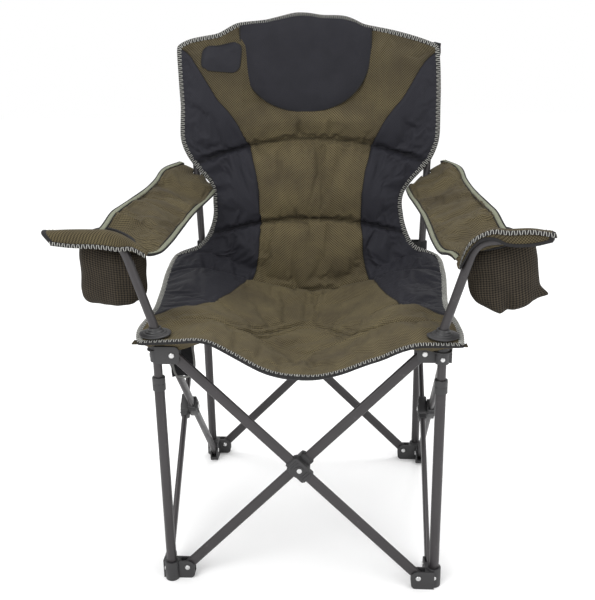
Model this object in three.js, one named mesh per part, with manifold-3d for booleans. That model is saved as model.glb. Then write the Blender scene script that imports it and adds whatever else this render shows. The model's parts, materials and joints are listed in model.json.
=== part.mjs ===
// A folding camp chair with a padded sling seat, two sling arms with cup holders and a quad-fold frame.
// Millimetres, +Z up, the sitter faces -Y. The origin is on the ground under the middle of the bounding box.
//
// Four telescopic posts stand at the corners of a square. Each of the four sides is a scissor of two equal
// cross tubes, so the frame is one side module turned four times by a quarter turn.

import * as THREE from 'three';
import { mergeVertices } from 'three/addons/utils/BufferGeometryUtils.js';
import Module from 'manifold-3d';

// Driving dimensions
const legSpacing = 506;          // between neighbouring post axes, across and front to back
const seatPivotHeight = 475;     // upper scissor pivots above the ground
const footPivotHeight = 24;      // lower scissor pivots above the ground
const pivotInset = 30;           // from a post axis to the scissor pivots beside it
const foldedLean = 5.5;          // cross tubes' angle from vertical when folded, degrees
const armHeight = 686;           // arm post's outer end above the ground
const armReach = 172;            // arm post's outer end beyond the post axis
const backRise = 472;            // upright's top above the seat rim
const backLean = 7.5;            // uprights' backward lean, degrees
const backSplay = 2.6;           // uprights' outward splay, degrees

// Tubes
const legRadius = 9.5;
const postRadius = 8;
const tubeWall = 1.2;
const legTubeTop = 412;
const postEngagement = 45;       // post still inside its leg tube when the chair is folded
const crossWidth = 20.5;         // flat-oval cross tube, in the plane of its scissor
const crossThickness = 11;
const crossOverhang = 8;         // tube beyond its end pivots

// Clearances
const fitGap = 0.3;              // between pieces that touch
const runGap = 0.4;              // between pieces that turn or slide on each other

// Mouldings and rivets
const pinRadius = 3;
const headRadius = 5.2;
const headHeight = 2.2;
const mouldWall = 3;
const clampWall = 2.5;
const clampWidth = 30;
const clampLength = 46;
const socketRadius = 13.5;
const footHeight = 40;
const footFloor = 6;
const bracketRadius = 12.5;

// Fabric
const rimAbovePivot = 32;
const padThickness = 18;
const hemThickness = 5;
const armThickness = 4;
const besideBack = 14;           // between the back's edge and an arm's rear end
const panelGap = 0.8;            // between sewn panels that are separate solids
const cupRadius = 52;
const cupDepth = 104;
const cupWall = 2.5;
const cupHoleRadius = 43;
const cupDrop = 32;              // cup rim below the arm height
const discRadius = 28;
const discThickness = 4;

// Worked-out dimensions
const half = legSpacing / 2;
const front = -half;
const rear = half;
const pivotSpan = legSpacing - 2 * pivotInset;
const pivotRise = seatPivotHeight - footPivotHeight;
const crossLength = Math.hypot(pivotSpan, pivotRise);
const crossLean = Math.atan2(pivotSpan, pivotRise);
const foldRise = crossLength * Math.cos(THREE.MathUtils.degToRad(foldedLean)) - pivotRise;
const hubHeight = footPivotHeight + pivotRise / 2;
const postBottom = legTubeTop - foldRise - postEngagement;
const crossLayer = crossThickness / 2 + fitGap + clampWall + runGap / 2;
const rim = seatPivotHeight + rimAbovePivot;
const slotWidth = crossThickness + 2 * runGap;
const earWidth = slotWidth + 2 * mouldWall;
const tipSweep = Math.hypot(crossOverhang, crossWidth / 2) + runGap;
const tubeSides = 12;
const pinSides = 8;

const wasm = await Module();
wasm.setup();

// Booleans

function solidOf(geometry) {
  const bare = geometry.clone();
  bare.deleteAttribute('normal');
  bare.deleteAttribute('uv');
  const merged = mergeVertices(bare, 1e-3);
  return new wasm.Manifold(new wasm.Mesh({
    numProp: 3,
    vertProperties: merged.attributes.position.array,
    triVerts: new Uint32Array(merged.index.array),
  }));
}

function geometryOf(solid) {
  const mesh = solid.getMesh();
  const indexed = new THREE.BufferGeometry();
  indexed.setAttribute('position', new THREE.BufferAttribute(new Float32Array(mesh.vertProperties), 3));
  indexed.setIndex(new THREE.BufferAttribute(new Uint32Array(mesh.triVerts), 1));
  const faceted = indexed.toNonIndexed();
  faceted.computeVertexNormals();
  return faceted;
}

function join(geometries) {
  return geometryOf(geometries.map(solidOf).reduce((whole, part) => whole.add(part)));
}

function cut(geometry, tools) {
  return geometryOf(tools.map(solidOf).reduce((whole, tool) => whole.subtract(tool), solidOf(geometry)));
}

// Shapes

function moved(geometry, x, y, z) {
  geometry.translate(x, y, z);
  return geometry;
}

// A cylinder of the given length whose axis runs along a direction, centred on a point.
function rod(radius, length, centre, direction, sides = tubeSides) {
  const geometry = new THREE.CylinderGeometry(radius, radius, length, sides);
  const up = new THREE.Vector3(0, 1, 0);
  geometry.applyQuaternion(new THREE.Quaternion().setFromUnitVectors(up, direction.clone().normalize()));
  return moved(geometry, centre.x, centre.y, centre.z);
}

// A profile of [radius, height] pairs turned about Z.
function turned(profile, sides) {
  const geometry = new THREE.LatheGeometry(profile.map(([r, z]) => new THREE.Vector2(r, z)), sides);
  geometry.rotateX(Math.PI / 2);
  return geometry;
}

function ringShape(outer, inner) {
  const shape = new THREE.Shape();
  shape.absarc(0, 0, outer, 0, 2 * Math.PI);
  const hole = new THREE.Path();
  hole.absarc(0, 0, inner, 0, 2 * Math.PI, true);
  shape.holes.push(hole);
  return shape;
}

// A flat oval, width along X and thickness along Y.
function ovalPath(path, width, thickness) {
  const reach = (width - thickness) / 2;
  path.absarc(reach, 0, thickness / 2, -Math.PI / 2, Math.PI / 2);
  path.absarc(-reach, 0, thickness / 2, Math.PI / 2, 1.5 * Math.PI);
  path.closePath();
  return path;
}

function extruded(shape, depth, curveSegments = 6) {
  return new THREE.ExtrudeGeometry(shape, { depth, bevelEnabled: false, curveSegments });
}

function rectangle(x0, y0, x1, y1) {
  const corners = [[x0, y0], [x1, y0], [x1, y1], [x0, y1]];
  return new THREE.Shape(corners.map(([x, y]) => new THREE.Vector2(x, y)));
}

// A rectangle with one rounding for each corner, counted anticlockwise from the lower left.
function roundedRectangle(x0, y0, x1, y1, [r0, r1, r2, r3]) {
  const shape = new THREE.Shape();
  shape.absarc(x0 + r0, y0 + r0, r0, Math.PI, 1.5 * Math.PI);
  shape.absarc(x1 - r1, y0 + r1, r1, 1.5 * Math.PI, 2 * Math.PI);
  shape.absarc(x1 - r2, y1 - r2, r2, 0, Math.PI / 2);
  shape.absarc(x0 + r3, y1 - r3, r3, Math.PI / 2, Math.PI);
  shape.closePath();
  return shape;
}

// Stands a plate drawn in (outward, up) on its edge, so that it runs from the origin along a direction.
function standing(geometry, outward) {
  const up = new THREE.Vector3(0, 0, 1);
  const through = new THREE.Vector3().crossVectors(outward, up);
  geometry.applyMatrix4(new THREE.Matrix4().makeBasis(outward, up, through));
  return geometry;
}

// A path of straight runs with rounded corners, sampled once on each run's ends and finely on the bends.
class BentPath extends THREE.Curve {
  constructor(corners, bendRadius, bendSteps) {
    super();
    this.points = [corners[0]];
    for (let i = 1; i < corners.length - 1; i++) {
      const before = corners[i - 1].clone().sub(corners[i]).normalize();
      const after = corners[i + 1].clone().sub(corners[i]).normalize();
      const tangentLength = bendRadius / Math.tan(before.angleTo(after) / 2);
      const start = corners[i].clone().addScaledVector(before, tangentLength);
      const end = corners[i].clone().addScaledVector(after, tangentLength);
      const bend = new THREE.QuadraticBezierCurve3(start, corners[i], end);
      this.points.push(...bend.getPoints(bendSteps));
    }
    this.points.push(corners[corners.length - 1]);
  }

  get steps() {
    return this.points.length - 1;
  }

  getPoint(t, target = new THREE.Vector3()) {
    const at = Math.min(t, 1) * this.steps;
    const i = Math.min(Math.floor(at), this.steps - 1);
    return target.lerpVectors(this.points[i], this.points[i + 1], at - i);
  }

  getUtoTmapping(u) {
    return u;
  }

  getTangent(t, target = new THREE.Vector3()) {
    const i = Math.round(t * this.steps);
    const before = this.points[Math.max(i - 1, 0)];
    const here = this.points[i];
    const after = this.points[Math.min(i + 1, this.steps)];
    const incoming = here.clone().sub(before).normalize();
    const outgoing = after.clone().sub(here).normalize();
    return target.copy(incoming).add(outgoing).normalize();
  }
}

function bentTube(corners, bendRadius) {
  const path = new BentPath(corners, bendRadius, 5);
  const shape = ringShape(postRadius, postRadius - tubeWall);
  const options = { extrudePath: path, steps: path.steps, bevelEnabled: false, curveSegments: tubeSides / 2 };
  return new THREE.ExtrudeGeometry(shape, options);
}

// A closed pad between a surface(u, v) and the same surface sunk by thickness(u, v) along its normal.
function pad(surface, thickness, across, along) {
  const step = 1e-3;
  const positions = [];
  const index = [];
  const row = across + 1;
  const sheet = row * (along + 1);
  const lower = [];
  for (let j = 0; j <= along; j++) {
    for (let i = 0; i <= across; i++) {
      const u = i / across;
      const v = j / along;
      const point = surface(u, v);
      const du = surface(u + step, v).sub(surface(u - step, v));
      const dv = surface(u, v + step).sub(surface(u, v - step));
      const normal = du.cross(dv).normalize();
      positions.push(...point.toArray());
      lower.push(...point.addScaledVector(normal, -thickness(u, v)).toArray());
    }
  }
  const quad = (a, b, c, d) => index.push(a, b, c, a, c, d);
  for (let j = 0; j < along; j++) {
    for (let i = 0; i < across; i++) {
      const a = j * row + i;
      quad(a, a + 1, a + row + 1, a + row);
      quad(sheet + a, sheet + a + row, sheet + a + row + 1, sheet + a + 1);
    }
  }
  for (let i = 0; i < across; i++) {
    const top = along * row + i;
    quad(i, sheet + i, sheet + i + 1, i + 1);
    quad(top + 1, sheet + top + 1, sheet + top, top);
  }
  for (let j = 0; j < along; j++) {
    const left = j * row;
    const right = left + across;
    quad(left + row, sheet + left + row, sheet + left, left);
    quad(right, sheet + right, sheet + right + row, right + row);
  }
  const geometry = new THREE.BufferGeometry();
  geometry.setAttribute('position', new THREE.Float32BufferAttribute([...positions, ...lower], 3));
  geometry.setIndex(index);
  return geometryOf(solidOf(geometry));
}

// Materials

const paint = new THREE.MeshStandardMaterial({ color: 0x4a4849, roughness: 0.45, metalness: 0.6 });
const plastic = new THREE.MeshStandardMaterial({ color: 0x232326, roughness: 0.55, metalness: 0 });
const zinc = new THREE.MeshStandardMaterial({ color: 0xc9c9cb, roughness: 0.3, metalness: 1 });
const olive = new THREE.MeshStandardMaterial({ color: 0x5d543d, roughness: 0.9, metalness: 0 });
const black = new THREE.MeshStandardMaterial({ color: 0x2e2e33, roughness: 0.85, metalness: 0 });

const chair = new THREE.Group();

function add(parent, name, geometry, material) {
  const mesh = new THREE.Mesh(geometry, material);
  mesh.name = name;
  parent.add(mesh);
  return mesh;
}

// Mouldings of one corner. The corner is the right-hand end of its side, seen from outside the chair:
// the side's scissor lies towards -X and the next side's scissor towards +Y.

const towardsLeft = new THREE.Vector3(-1, 0, 0);
const towardsNext = new THREE.Vector3(0, 1, 0);
const vertical = new THREE.Vector3(0, 0, 1);

// The two ears of a corner moulding stand in the layers of the tubes that they hold.
function ears(profile, width, sideLayer, nextLayer) {
  const left = moved(standing(extruded(profile, width, 2), towardsLeft), 0, sideLayer - width / 2, 0);
  const next = moved(standing(extruded(profile, width, 2), towardsNext), nextLayer - width / 2, 0, 0);
  return [left, next];
}

function earPins(radius, length, height, sideLayer, nextLayer) {
  const leftCentre = new THREE.Vector3(-pivotInset, sideLayer, height);
  const nextCentre = new THREE.Vector3(nextLayer, pivotInset, height);
  return [
    rod(radius, length, leftCentre, towardsNext, pinSides),
    rod(radius, length, nextCentre, towardsLeft, pinSides),
  ];
}

function footGeometry() {
  const earEnd = pivotInset + tipSweep;
  const earTop = footPivotHeight + tipSweep;
  const slotStart = pivotInset - tipSweep;
  const slotFloor = footPivotHeight - tipSweep;
  const clear = 2 * earEnd;
  const ear = roundedRectangle(0, 0, earEnd, earTop, [2, 10, 12, 2]);
  const slot = rectangle(slotStart, slotFloor, clear, clear);
  const socket = turned([
    [0, 0], [socketRadius - 2, 0], [socketRadius, 2], [socketRadius, footHeight], [0, footHeight],
  ], tubeSides);
  const bore = rod(legRadius + fitGap, footHeight, new THREE.Vector3(0, 0, footFloor + footHeight / 2), vertical);
  const body = join([socket, ...ears(ear, earWidth, -crossLayer, -crossLayer)]);
  return cut(body, [
    bore,
    ...ears(slot, slotWidth, -crossLayer, -crossLayer),
    ...earPins(pinRadius + fitGap, clear, footPivotHeight, -crossLayer, -crossLayer),
  ]);
}

function bracketGeometry() {
  const earEnd = pivotInset + tipSweep;
  const top = seatPivotHeight + tipSweep + mouldWall;
  const bottom = seatPivotHeight - tipSweep - mouldWall;
  const slotStart = pivotInset - tipSweep;
  const slotRoof = seatPivotHeight + tipSweep;
  const clear = 2 * earEnd;
  const ear = roundedRectangle(0, bottom, earEnd, top, [2, 8, 8, 2]);
  const slot = rectangle(slotStart, bottom - clear, clear, slotRoof);
  const middle = new THREE.Vector3(0, 0, (top + bottom) / 2);
  const sleeve = rod(bracketRadius, top - bottom, middle, vertical);
  const bore = rod(postRadius + fitGap, clear, middle, vertical);
  const body = join([sleeve, ...ears(ear, earWidth, crossLayer, crossLayer)]);
  const slotted = cut(body, [bore, ...ears(slot, slotWidth, crossLayer, crossLayer)]);
  const pins = earPins(pinRadius, earWidth + 2 * headHeight, seatPivotHeight, crossLayer, crossLayer);
  return join([slotted, ...pins]);
}

function collarGeometry() {
  const outer = legRadius + mouldWall - fitGap;
  const legBore = legRadius + fitGap;
  const postBore = postRadius + runGap;
  const skirt = legTubeTop - 10;
  const top = legTubeTop + 16;
  return turned([
    [legBore, skirt], [outer, skirt], [outer, top - 2], [outer - 1.5, top], [postBore, top],
    [postBore, legTubeTop + fitGap], [legBore, legTubeTop + fitGap], [legBore, skirt],
  ], 14);
}

// A rivet along Z with a domed head at each end, gripping a stack of the given thickness.
function rivetGeometry(grip) {
  const face = grip / 2 + fitGap;
  const crown = face + headHeight;
  return turned([
    [0, -crown], [headRadius * 0.6, -crown + 0.5], [headRadius, -face], [pinRadius, -face],
    [pinRadius, face], [headRadius, face], [headRadius * 0.6, crown - 0.5], [0, crown],
  ], pinSides);
}

// A cross tube along Z, its three rivet holes along Y.
function crossTubeGeometry() {
  const length = crossLength + 2 * crossOverhang;
  const shape = ovalPath(new THREE.Shape(), crossWidth, crossThickness);
  shape.holes.push(ovalPath(new THREE.Path(), crossWidth - 2 * tubeWall, crossThickness - 2 * tubeWall));
  const tube = moved(extruded(shape, length, 2), 0, 0, -length / 2);
  const holes = [-crossLength / 2, 0, crossLength / 2].map((z) =>
    rod(pinRadius + runGap, 2 * crossThickness, new THREE.Vector3(0, 0, z), towardsNext, pinSides));
  return cut(tube, holes);
}

// A hub clamp round a cross tube: a block with the tube's oval through it and the rivet across it.
function clampGeometry() {
  const depth = crossThickness + 2 * (fitGap + clampWall);
  const outline = roundedRectangle(-clampWidth / 2, -clampLength / 2, clampWidth / 2, clampLength / 2, [9, 4, 9, 4]);
  const block = moved(standing(extruded(outline, depth, 2), new THREE.Vector3(1, 0, 0)), 0, depth / 2, 0);
  const oval = ovalPath(new THREE.Shape(), crossWidth + 2 * fitGap, crossThickness + 2 * fitGap);
  const bore = moved(extruded(oval, 2 * clampLength, 2), 0, 0, -clampLength);
  const hole = rod(pinRadius + runGap, 2 * depth, new THREE.Vector3(), towardsNext, pinSides);
  return cut(block, [bore, hole]);
}

// One side of the frame with the corner at its right-hand end, drawn as the front side.
function addSide(quarterTurns, side, corner) {
  const group = new THREE.Group();
  group.rotation.z = quarterTurns * Math.PI / 2;
  chair.add(group);

  const cornerGroup = new THREE.Group();
  cornerGroup.position.set(half, front, 0);
  group.add(cornerGroup);
  add(cornerGroup, `foot_${corner}`, footGeometry(), plastic);
  const legRing = ringShape(legRadius, legRadius - tubeWall);
  const legStart = footFloor + fitGap;
  const leg = moved(extruded(legRing, legTubeTop - legStart, tubeSides / 2), 0, 0, legStart);
  add(cornerGroup, `leg_tube_${corner}`, leg, paint);
  add(cornerGroup, `leg_collar_${corner}`, collarGeometry(), plastic);
  add(cornerGroup, `corner_bracket_${corner}`, bracketGeometry(), plastic);

  // The inner tube rises from the left foot to the right corner, the outer one from the right foot.
  for (const [layer, inward] of [['inner', 1], ['outer', -1]]) {
    const tubeGroup = new THREE.Group();
    tubeGroup.position.set(0, front + inward * crossLayer, hubHeight);
    tubeGroup.rotation.y = inward * crossLean;
    group.add(tubeGroup);
    add(tubeGroup, `${side}_cross_tube_${layer}`, crossTubeGeometry(), paint);
    add(tubeGroup, `${side}_hub_clamp_${layer}`, clampGeometry(), plastic);
  }

  const hubGrip = 4 * crossLayer;
  const hubRivet = add(group, `${side}_hub_rivet`, rivetGeometry(hubGrip), zinc);
  hubRivet.position.set(0, front, hubHeight);
  hubRivet.rotation.x = Math.PI / 2;
  for (const [end, sign] of [['left', -1], ['right', 1]]) {
    const rivet = add(group, `${side}_foot_rivet_${end}`, rivetGeometry(earWidth), zinc);
    rivet.position.set(sign * (half - pivotInset), front - sign * crossLayer, footPivotHeight);
    rivet.rotation.x = Math.PI / 2;
  }
}

addSide(0, 'front', 'front_right');
addSide(1, 'right', 'rear_right');
addSide(2, 'rear', 'rear_left');
addSide(3, 'left', 'front_left');

// Posts. The front ones carry on as bent arm posts, the rear ones as the leaning uprights of the back.

const armBendHeight = rim + 12;
const armLean = Math.tan(THREE.MathUtils.degToRad(17));
const armShoulder = armHeight - 8;
const uprightKink = rim - 6;
const leanPerHeight = Math.tan(THREE.MathUtils.degToRad(backLean));
const splayPerHeight = Math.tan(THREE.MathUtils.degToRad(backSplay));

function armPostGeometry(side) {
  const shoulderX = half + (armShoulder - armBendHeight) * armLean;
  return bentTube([
    new THREE.Vector3(side * half, front, postBottom),
    new THREE.Vector3(side * half, front, armBendHeight),
    new THREE.Vector3(side * shoulderX, front, armShoulder),
    new THREE.Vector3(side * (half + armReach), front, armHeight),
  ], 42);
}

function uprightPoint(side, height) {
  const climb = Math.max(height - uprightKink, 0);
  return new THREE.Vector3(side * (half + climb * splayPerHeight), rear + climb * leanPerHeight, height);
}

function uprightGeometry(side) {
  return bentTube([
    new THREE.Vector3(side * half, rear, postBottom),
    uprightPoint(side, uprightKink),
    uprightPoint(side, rim + backRise),
  ], 120);
}

// Sling surface. Stations run from the seat's front edge, over the crease, up to the top of the back.
// Each has a point on the centre line, a point on the right-hand edge, the share of the half-width where
// the sag ends (shoulder) and how far the section turns from a flat-shouldered sag to a plain arc (arch).

const stations = [
  { centre: [front - 35, rim - 62], edge: [half + 29, front - 30, rim - 3], shoulder: 0.68, arch: 0 },
  { centre: [front + 110, rim - 86], edge: [half + 15, front + 110, rim + 2], shoulder: 0.76, arch: 0 },
  { centre: [front + 285, rim - 80], edge: [half + 31, front + 260, rim - 3], shoulder: 0.95, arch: 0 },
  { centre: [rear - 106, rim - 66], edge: [half + 44, rear - 106, rim + 8], shoulder: 1, arch: 0 },
  { centre: [rear - 44, rim - 44], edge: [half + 38, rear - 30, rim + 20], shoulder: 1, arch: 0.2 },
  { centre: [rear - 22, rim + 12], edge: [half - 17, rear - 19, rim + 42], shoulder: 1, arch: 0.6 },
  { centre: [rear - 8, rim + 90], edge: [half - 45, rear - 2, rim + 106], shoulder: 1, arch: 1 },
  { centre: [rear, rim + 154], edge: [half - 37, rear + 1, rim + 156], shoulder: 1, arch: 1 },
  { centre: [rear + 12, rim + 234], edge: [half + 22, rear + 9, rim + 232], shoulder: 1, arch: 1 },
  { centre: [rear + 28, rim + 344], edge: [half + 37, rear + 23, rim + 344], shoulder: 1, arch: 1 },
  { centre: [rear + 39, rim + 434], edge: [half + 39, rear + 34, rim + 424], shoulder: 1, arch: 1 },
  { centre: [rear + 50, rim + 540], edge: [half + 38, rear + 41, rim + 479], shoulder: 1, arch: 1 },
];
const creaseStation = 4;
const topStation = stations.length - 1;
const stationGap = 0.025;        // half the gap between the seat and the back, in stations
const centreLine = new THREE.CatmullRomCurve3(stations.map(({ centre: [y, z] }) => new THREE.Vector3(0, y, z)));
const edgeLine = new THREE.CatmullRomCurve3(stations.map(({ edge }) => new THREE.Vector3(...edge)));

function slingPoint(across, station) {
  const t = THREE.MathUtils.clamp(station / topStation, 0, 1);
  const i = Math.min(Math.floor(t * topStation), topStation - 1);
  const share = t * topStation - i;
  const shoulder = THREE.MathUtils.lerp(stations[i].shoulder, stations[i + 1].shoulder, share);
  const arch = THREE.MathUtils.lerp(stations[i].arch, stations[i + 1].arch, share);
  const sag = Math.sin(Math.PI / 2 * Math.min(1, Math.abs(across) / shoulder)) ** 2;
  const rise = THREE.MathUtils.lerp(sag, across * across, arch);
  const centre = centreLine.getPoint(t);
  const edge = edgeLine.getPoint(t);
  const point = centre.clone().lerp(edge, rise);
  point.x = edge.x * across;
  return point;
}

function slingThickness(across) {
  return hemThickness + (padThickness - hemThickness) * (1 - Math.abs(across) ** 2.5);
}

function backGeometry() {
  const start = creaseStation + stationGap;
  const surface = (u, v) => slingPoint(2 * u - 1, start + v * (topStation - start));
  return pad(surface, (u) => slingThickness(2 * u - 1), 10, 11);
}

// Half of the seat, from the middle to one side, with the hole that its arm post passes through.
function seatHalfGeometry(side) {
  const inner = panelGap / legSpacing * 2;
  const across = (u) => (side > 0 ? inner + u * (1 - inner) : u * (1 - inner) - 1);
  const surface = (u, v) => slingPoint(across(u), v * (creaseStation - stationGap));
  const whole = pad(surface, (u) => slingThickness(across(u)), 7, 9);
  const grommet = new THREE.Vector3(side * half, front, rim);
  return cut(whole, [rod(postRadius + 3, 4 * padThickness, grommet, vertical)]);
}

const headrestHalfWidth = 142;
const headrestThickness = 10;
const headrestStart = 9.15;
const headrestEnd = 10.93;

function headrestGeometry() {
  const surface = (u, v) => {
    const station = headrestStart + v * (headrestEnd - headrestStart);
    const fullness = 0.5 + 0.5 * Math.sin(Math.PI / 2 * Math.min(1, v / 0.45));
    const across = (2 * u - 1) * headrestHalfWidth * fullness / half;
    const point = slingPoint(across, station);
    point.y -= headrestThickness + 1.2;
    return point;
  };
  return pad(surface, () => headrestThickness, 6, 5);
}

// Arms. Each is a sling between an outer and an inner edge, from the upright forward to the arm post.

// Where the back's edge is at a height, so that the arms end beside it.
function backEdgeAt(height) {
  const points = edgeLine.getPoints(220).slice(creaseStation * 20);
  return points.reduce((best, point) => (Math.abs(point.z - height) < Math.abs(best.z - height) ? point : best)).x;
}

const armOuterEdge = [
  [half + 51, rear + 46, armHeight + 43], [half + 80, rear - 1, armHeight + 36],
  [half + 85, rear - 76, armHeight + 22], [half + 89, rear - 156, armHeight + 16],
  [half + 97, front + 230, armHeight + 14], [half + 109, front + 130, armHeight + 13],
  [half + 132, front + 50, armHeight + 10], [half + armReach - 4, front + 14, armHeight + 6],
];
const armInnerX = backEdgeAt(armHeight - 18) + besideBack;
const armInnerEdge = [
  [armInnerX, rear + 16, armHeight - 18], [armInnerX - 2, rear - 40, armHeight - 20],
  [half - 22, rear - 110, armHeight - 24], [half - 18, rear - 190, armHeight - 29],
  [half - 14, front + 220, armHeight - 34], [half - 11, front + 130, armHeight - 40],
  [half - 4, front + 60, armHeight - 42], [half + 9, front + 14, armHeight - 36],
];
const armSag = 12;
const cupCentreX = half + 90;
const cupCentreY = front + 72;

function edgeCurve(points) {
  return new THREE.CatmullRomCurve3(points.map((point) => new THREE.Vector3(...point)));
}

function armGeometry(side) {
  const outer = edgeCurve(armOuterEdge);
  const inner = edgeCurve(armInnerEdge);
  const surface = (u, v) => {
    const w = side > 0 ? u : 1 - u;
    const t = THREE.MathUtils.clamp(1 - v, 0, 1);
    const low = inner.getPoint(t);
    const high = outer.getPoint(t);
    const point = low.clone().lerp(high, w);
    point.z = THREE.MathUtils.lerp(high.z, low.z, (1 - w) ** 2);
    point.z -= armSag * Math.sin(Math.PI * w) * Math.sin(Math.PI * t);
    point.x *= side;
    return point;
  };
  const sling = pad(surface, () => armThickness, 5, 12);
  const cupHole = rod(cupHoleRadius, 100, new THREE.Vector3(side * cupCentreX, cupCentreY, armHeight), vertical, 20);
  const low = uprightPoint(side, armHeight - 60);
  const high = uprightPoint(side, armHeight + 80);
  const direction = high.clone().sub(low);
  const uprightHole = rod(postRadius + 3, direction.length(), low.lerp(high, 0.5), direction);
  return cut(sling, [cupHole, uprightHole]);
}

function cupGeometry() {
  const outer = cupRadius;
  const inner = cupRadius - cupWall;
  return turned([
    [0, 0], [outer - 12, 0], [outer, 12], [outer, cupDepth],
    [inner, cupDepth], [inner, 13], [inner - 10, cupWall], [0, cupWall],
  ], 16);
}

for (const [name, side] of [['left', -1], ['right', 1]]) {
  add(chair, `arm_post_${name}`, armPostGeometry(side), paint);
  add(chair, `back_upright_${name}`, uprightGeometry(side), paint);
  add(chair, `seat_${name}`, seatHalfGeometry(side), olive);
  add(chair, `arm_sling_${name}`, armGeometry(side), olive);
  const cup = add(chair, `cup_holder_${name}`, cupGeometry(), olive);
  cup.position.set(side * cupCentreX, cupCentreY, armHeight - cupDrop - cupDepth);
  const ring = ringShape(discRadius, postRadius + runGap);
  const disc = add(chair, `seat_disc_${name}`, extruded(ring, discThickness, 8), plastic);
  disc.position.set(side * half, front, rim + 2.5);
}
add(chair, 'back_panel', backGeometry(), black);
add(chair, 'headrest_pad', headrestGeometry(), black);

// A small pocket that hangs under the seat behind the left arm post.
const pocketOutline = roundedRectangle(0, 0, 40, 76, [12, 12, 2, 2]);
const pocketPlate = standing(extruded(pocketOutline, 6, 2), new THREE.Vector3(1, 0, 0));
const pocket = add(chair, 'corner_pocket', pocketPlate, black);
pocket.position.set(-half + crossLayer + earWidth / 2 + 2 * fitGap, front + 44, rim - 96);

// The origin goes on the ground under the middle of the bounding box.
chair.updateMatrixWorld(true);
const middle = new THREE.Box3().setFromObject(chair).getCenter(new THREE.Vector3());
for (const child of chair.children) {
  child.position.x -= middle.x;
  child.position.y -= middle.y;
}

export default chair;
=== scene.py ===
# A padded folding camp chair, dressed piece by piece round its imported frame.
# Metres, +Z up, the sitter faces -Y, and the origin is on the ground under the middle of the chair.

import json
import math

import bmesh
import bpy
import numpy as np
from mathutils import Matrix, Vector, noise


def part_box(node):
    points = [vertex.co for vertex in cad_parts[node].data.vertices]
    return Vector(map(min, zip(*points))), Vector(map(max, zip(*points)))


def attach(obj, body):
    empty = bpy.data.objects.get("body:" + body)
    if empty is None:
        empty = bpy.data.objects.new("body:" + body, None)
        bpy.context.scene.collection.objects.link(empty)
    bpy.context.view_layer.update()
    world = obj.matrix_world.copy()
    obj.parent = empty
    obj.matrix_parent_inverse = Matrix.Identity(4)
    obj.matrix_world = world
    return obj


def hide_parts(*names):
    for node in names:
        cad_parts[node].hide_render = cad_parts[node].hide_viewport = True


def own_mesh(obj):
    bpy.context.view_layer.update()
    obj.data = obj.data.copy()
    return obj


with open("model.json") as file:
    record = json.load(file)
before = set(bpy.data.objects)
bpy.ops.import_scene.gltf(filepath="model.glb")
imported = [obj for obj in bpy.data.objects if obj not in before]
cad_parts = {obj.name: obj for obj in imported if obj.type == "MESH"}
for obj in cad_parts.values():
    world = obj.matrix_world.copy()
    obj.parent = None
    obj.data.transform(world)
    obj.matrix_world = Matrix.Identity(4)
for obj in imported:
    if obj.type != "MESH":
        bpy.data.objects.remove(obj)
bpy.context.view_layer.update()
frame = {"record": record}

# ---------------------------------------------------------------------------------------------------
# The studio: a pale floor, a broad soft key light from the front left, a weaker fill on the right and
# a bright pale room all round. The camera stands a little to the right, at an adult's eye height.
camera_data = bpy.data.cameras.new("camera")
camera_data.lens = 50.44
camera_data.sensor_width = 36
camera_data.clip_end = 50
camera = bpy.data.objects.new("camera", camera_data)
bpy.context.scene.collection.objects.link(camera)
bpy.context.scene.camera = camera
camera_place = (0.0944, -1.6502, 1.0267)
pitch, yaw, roll = 0.3162, 0.0677, -0.0167
ahead = Vector((-math.sin(yaw) * math.cos(pitch), math.cos(yaw) * math.cos(pitch), -math.sin(pitch)))
level = Vector((math.cos(yaw), math.sin(yaw), 0))
above = level.cross(ahead)
right = level * math.cos(roll) + above * math.sin(roll)
above = above * math.cos(roll) - level * math.sin(roll)
turn = Matrix((right, above, -ahead)).transposed()
camera.matrix_world = Matrix.Translation(camera_place) @ turn.to_4x4()


def area_light(name, place, target, size, power):
    data = bpy.data.lights.new(name, "AREA")
    data.shape = "SQUARE"
    data.size = size
    data.energy = power
    light = bpy.data.objects.new(name, data)
    light.location = place
    light.rotation_euler = (Vector(target) - Vector(place)).to_track_quat("-Z", "Y").to_euler()
    bpy.context.scene.collection.objects.link(light)


area_light("key", (-1.6, -2.6, 2.6), (0, 0, 0.5), 1.8, 62)
area_light("fill", (2.4, -2.0, 1.6), (0, 0, 0.5), 1.6, 22)
area_light("top", (0.2, 0.6, 2.8), (0, 0, 0.6), 1.6, 30)
bpy.context.scene.view_settings.view_transform = "Standard"
world = bpy.data.worlds.new("pale room")
world.use_nodes = True
world.node_tree.nodes["Background"].inputs["Color"].default_value = (1, 1, 1, 1)
world.node_tree.nodes["Background"].inputs["Strength"].default_value = 1.0
bpy.context.scene.world = world


def add_node(material, kind, feeds=None, **settings):
    """A shader node with its settings, each feed a number, a colour or another node's output."""
    node = material.node_tree.nodes.new(kind)
    for key, value in settings.items():
        setattr(node, key, value)
    for socket, value in (feeds or {}).items():
        if isinstance(value, bpy.types.NodeSocket):
            material.node_tree.links.new(value, node.inputs[socket])
        else:
            node.inputs[socket].default_value = value
    return node


def new_material(name, roughness, metallic=0.0, sheen=0.0, shine=0.5):
    material = bpy.data.materials.new(name)
    material.use_nodes = True
    shader = material.node_tree.nodes["Principled BSDF"]
    shader.inputs["Roughness"].default_value = roughness
    shader.inputs["Metallic"].default_value = metallic
    shader.inputs["Specular IOR Level"].default_value = shine
    if sheen:
        shader.inputs["Sheen Weight"].default_value = sheen
        shader.inputs["Sheen Roughness"].default_value = 0.55
    return material, shader


def feed(material, source, node, socket):
    material.node_tree.links.new(source, node.inputs[socket])


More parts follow.
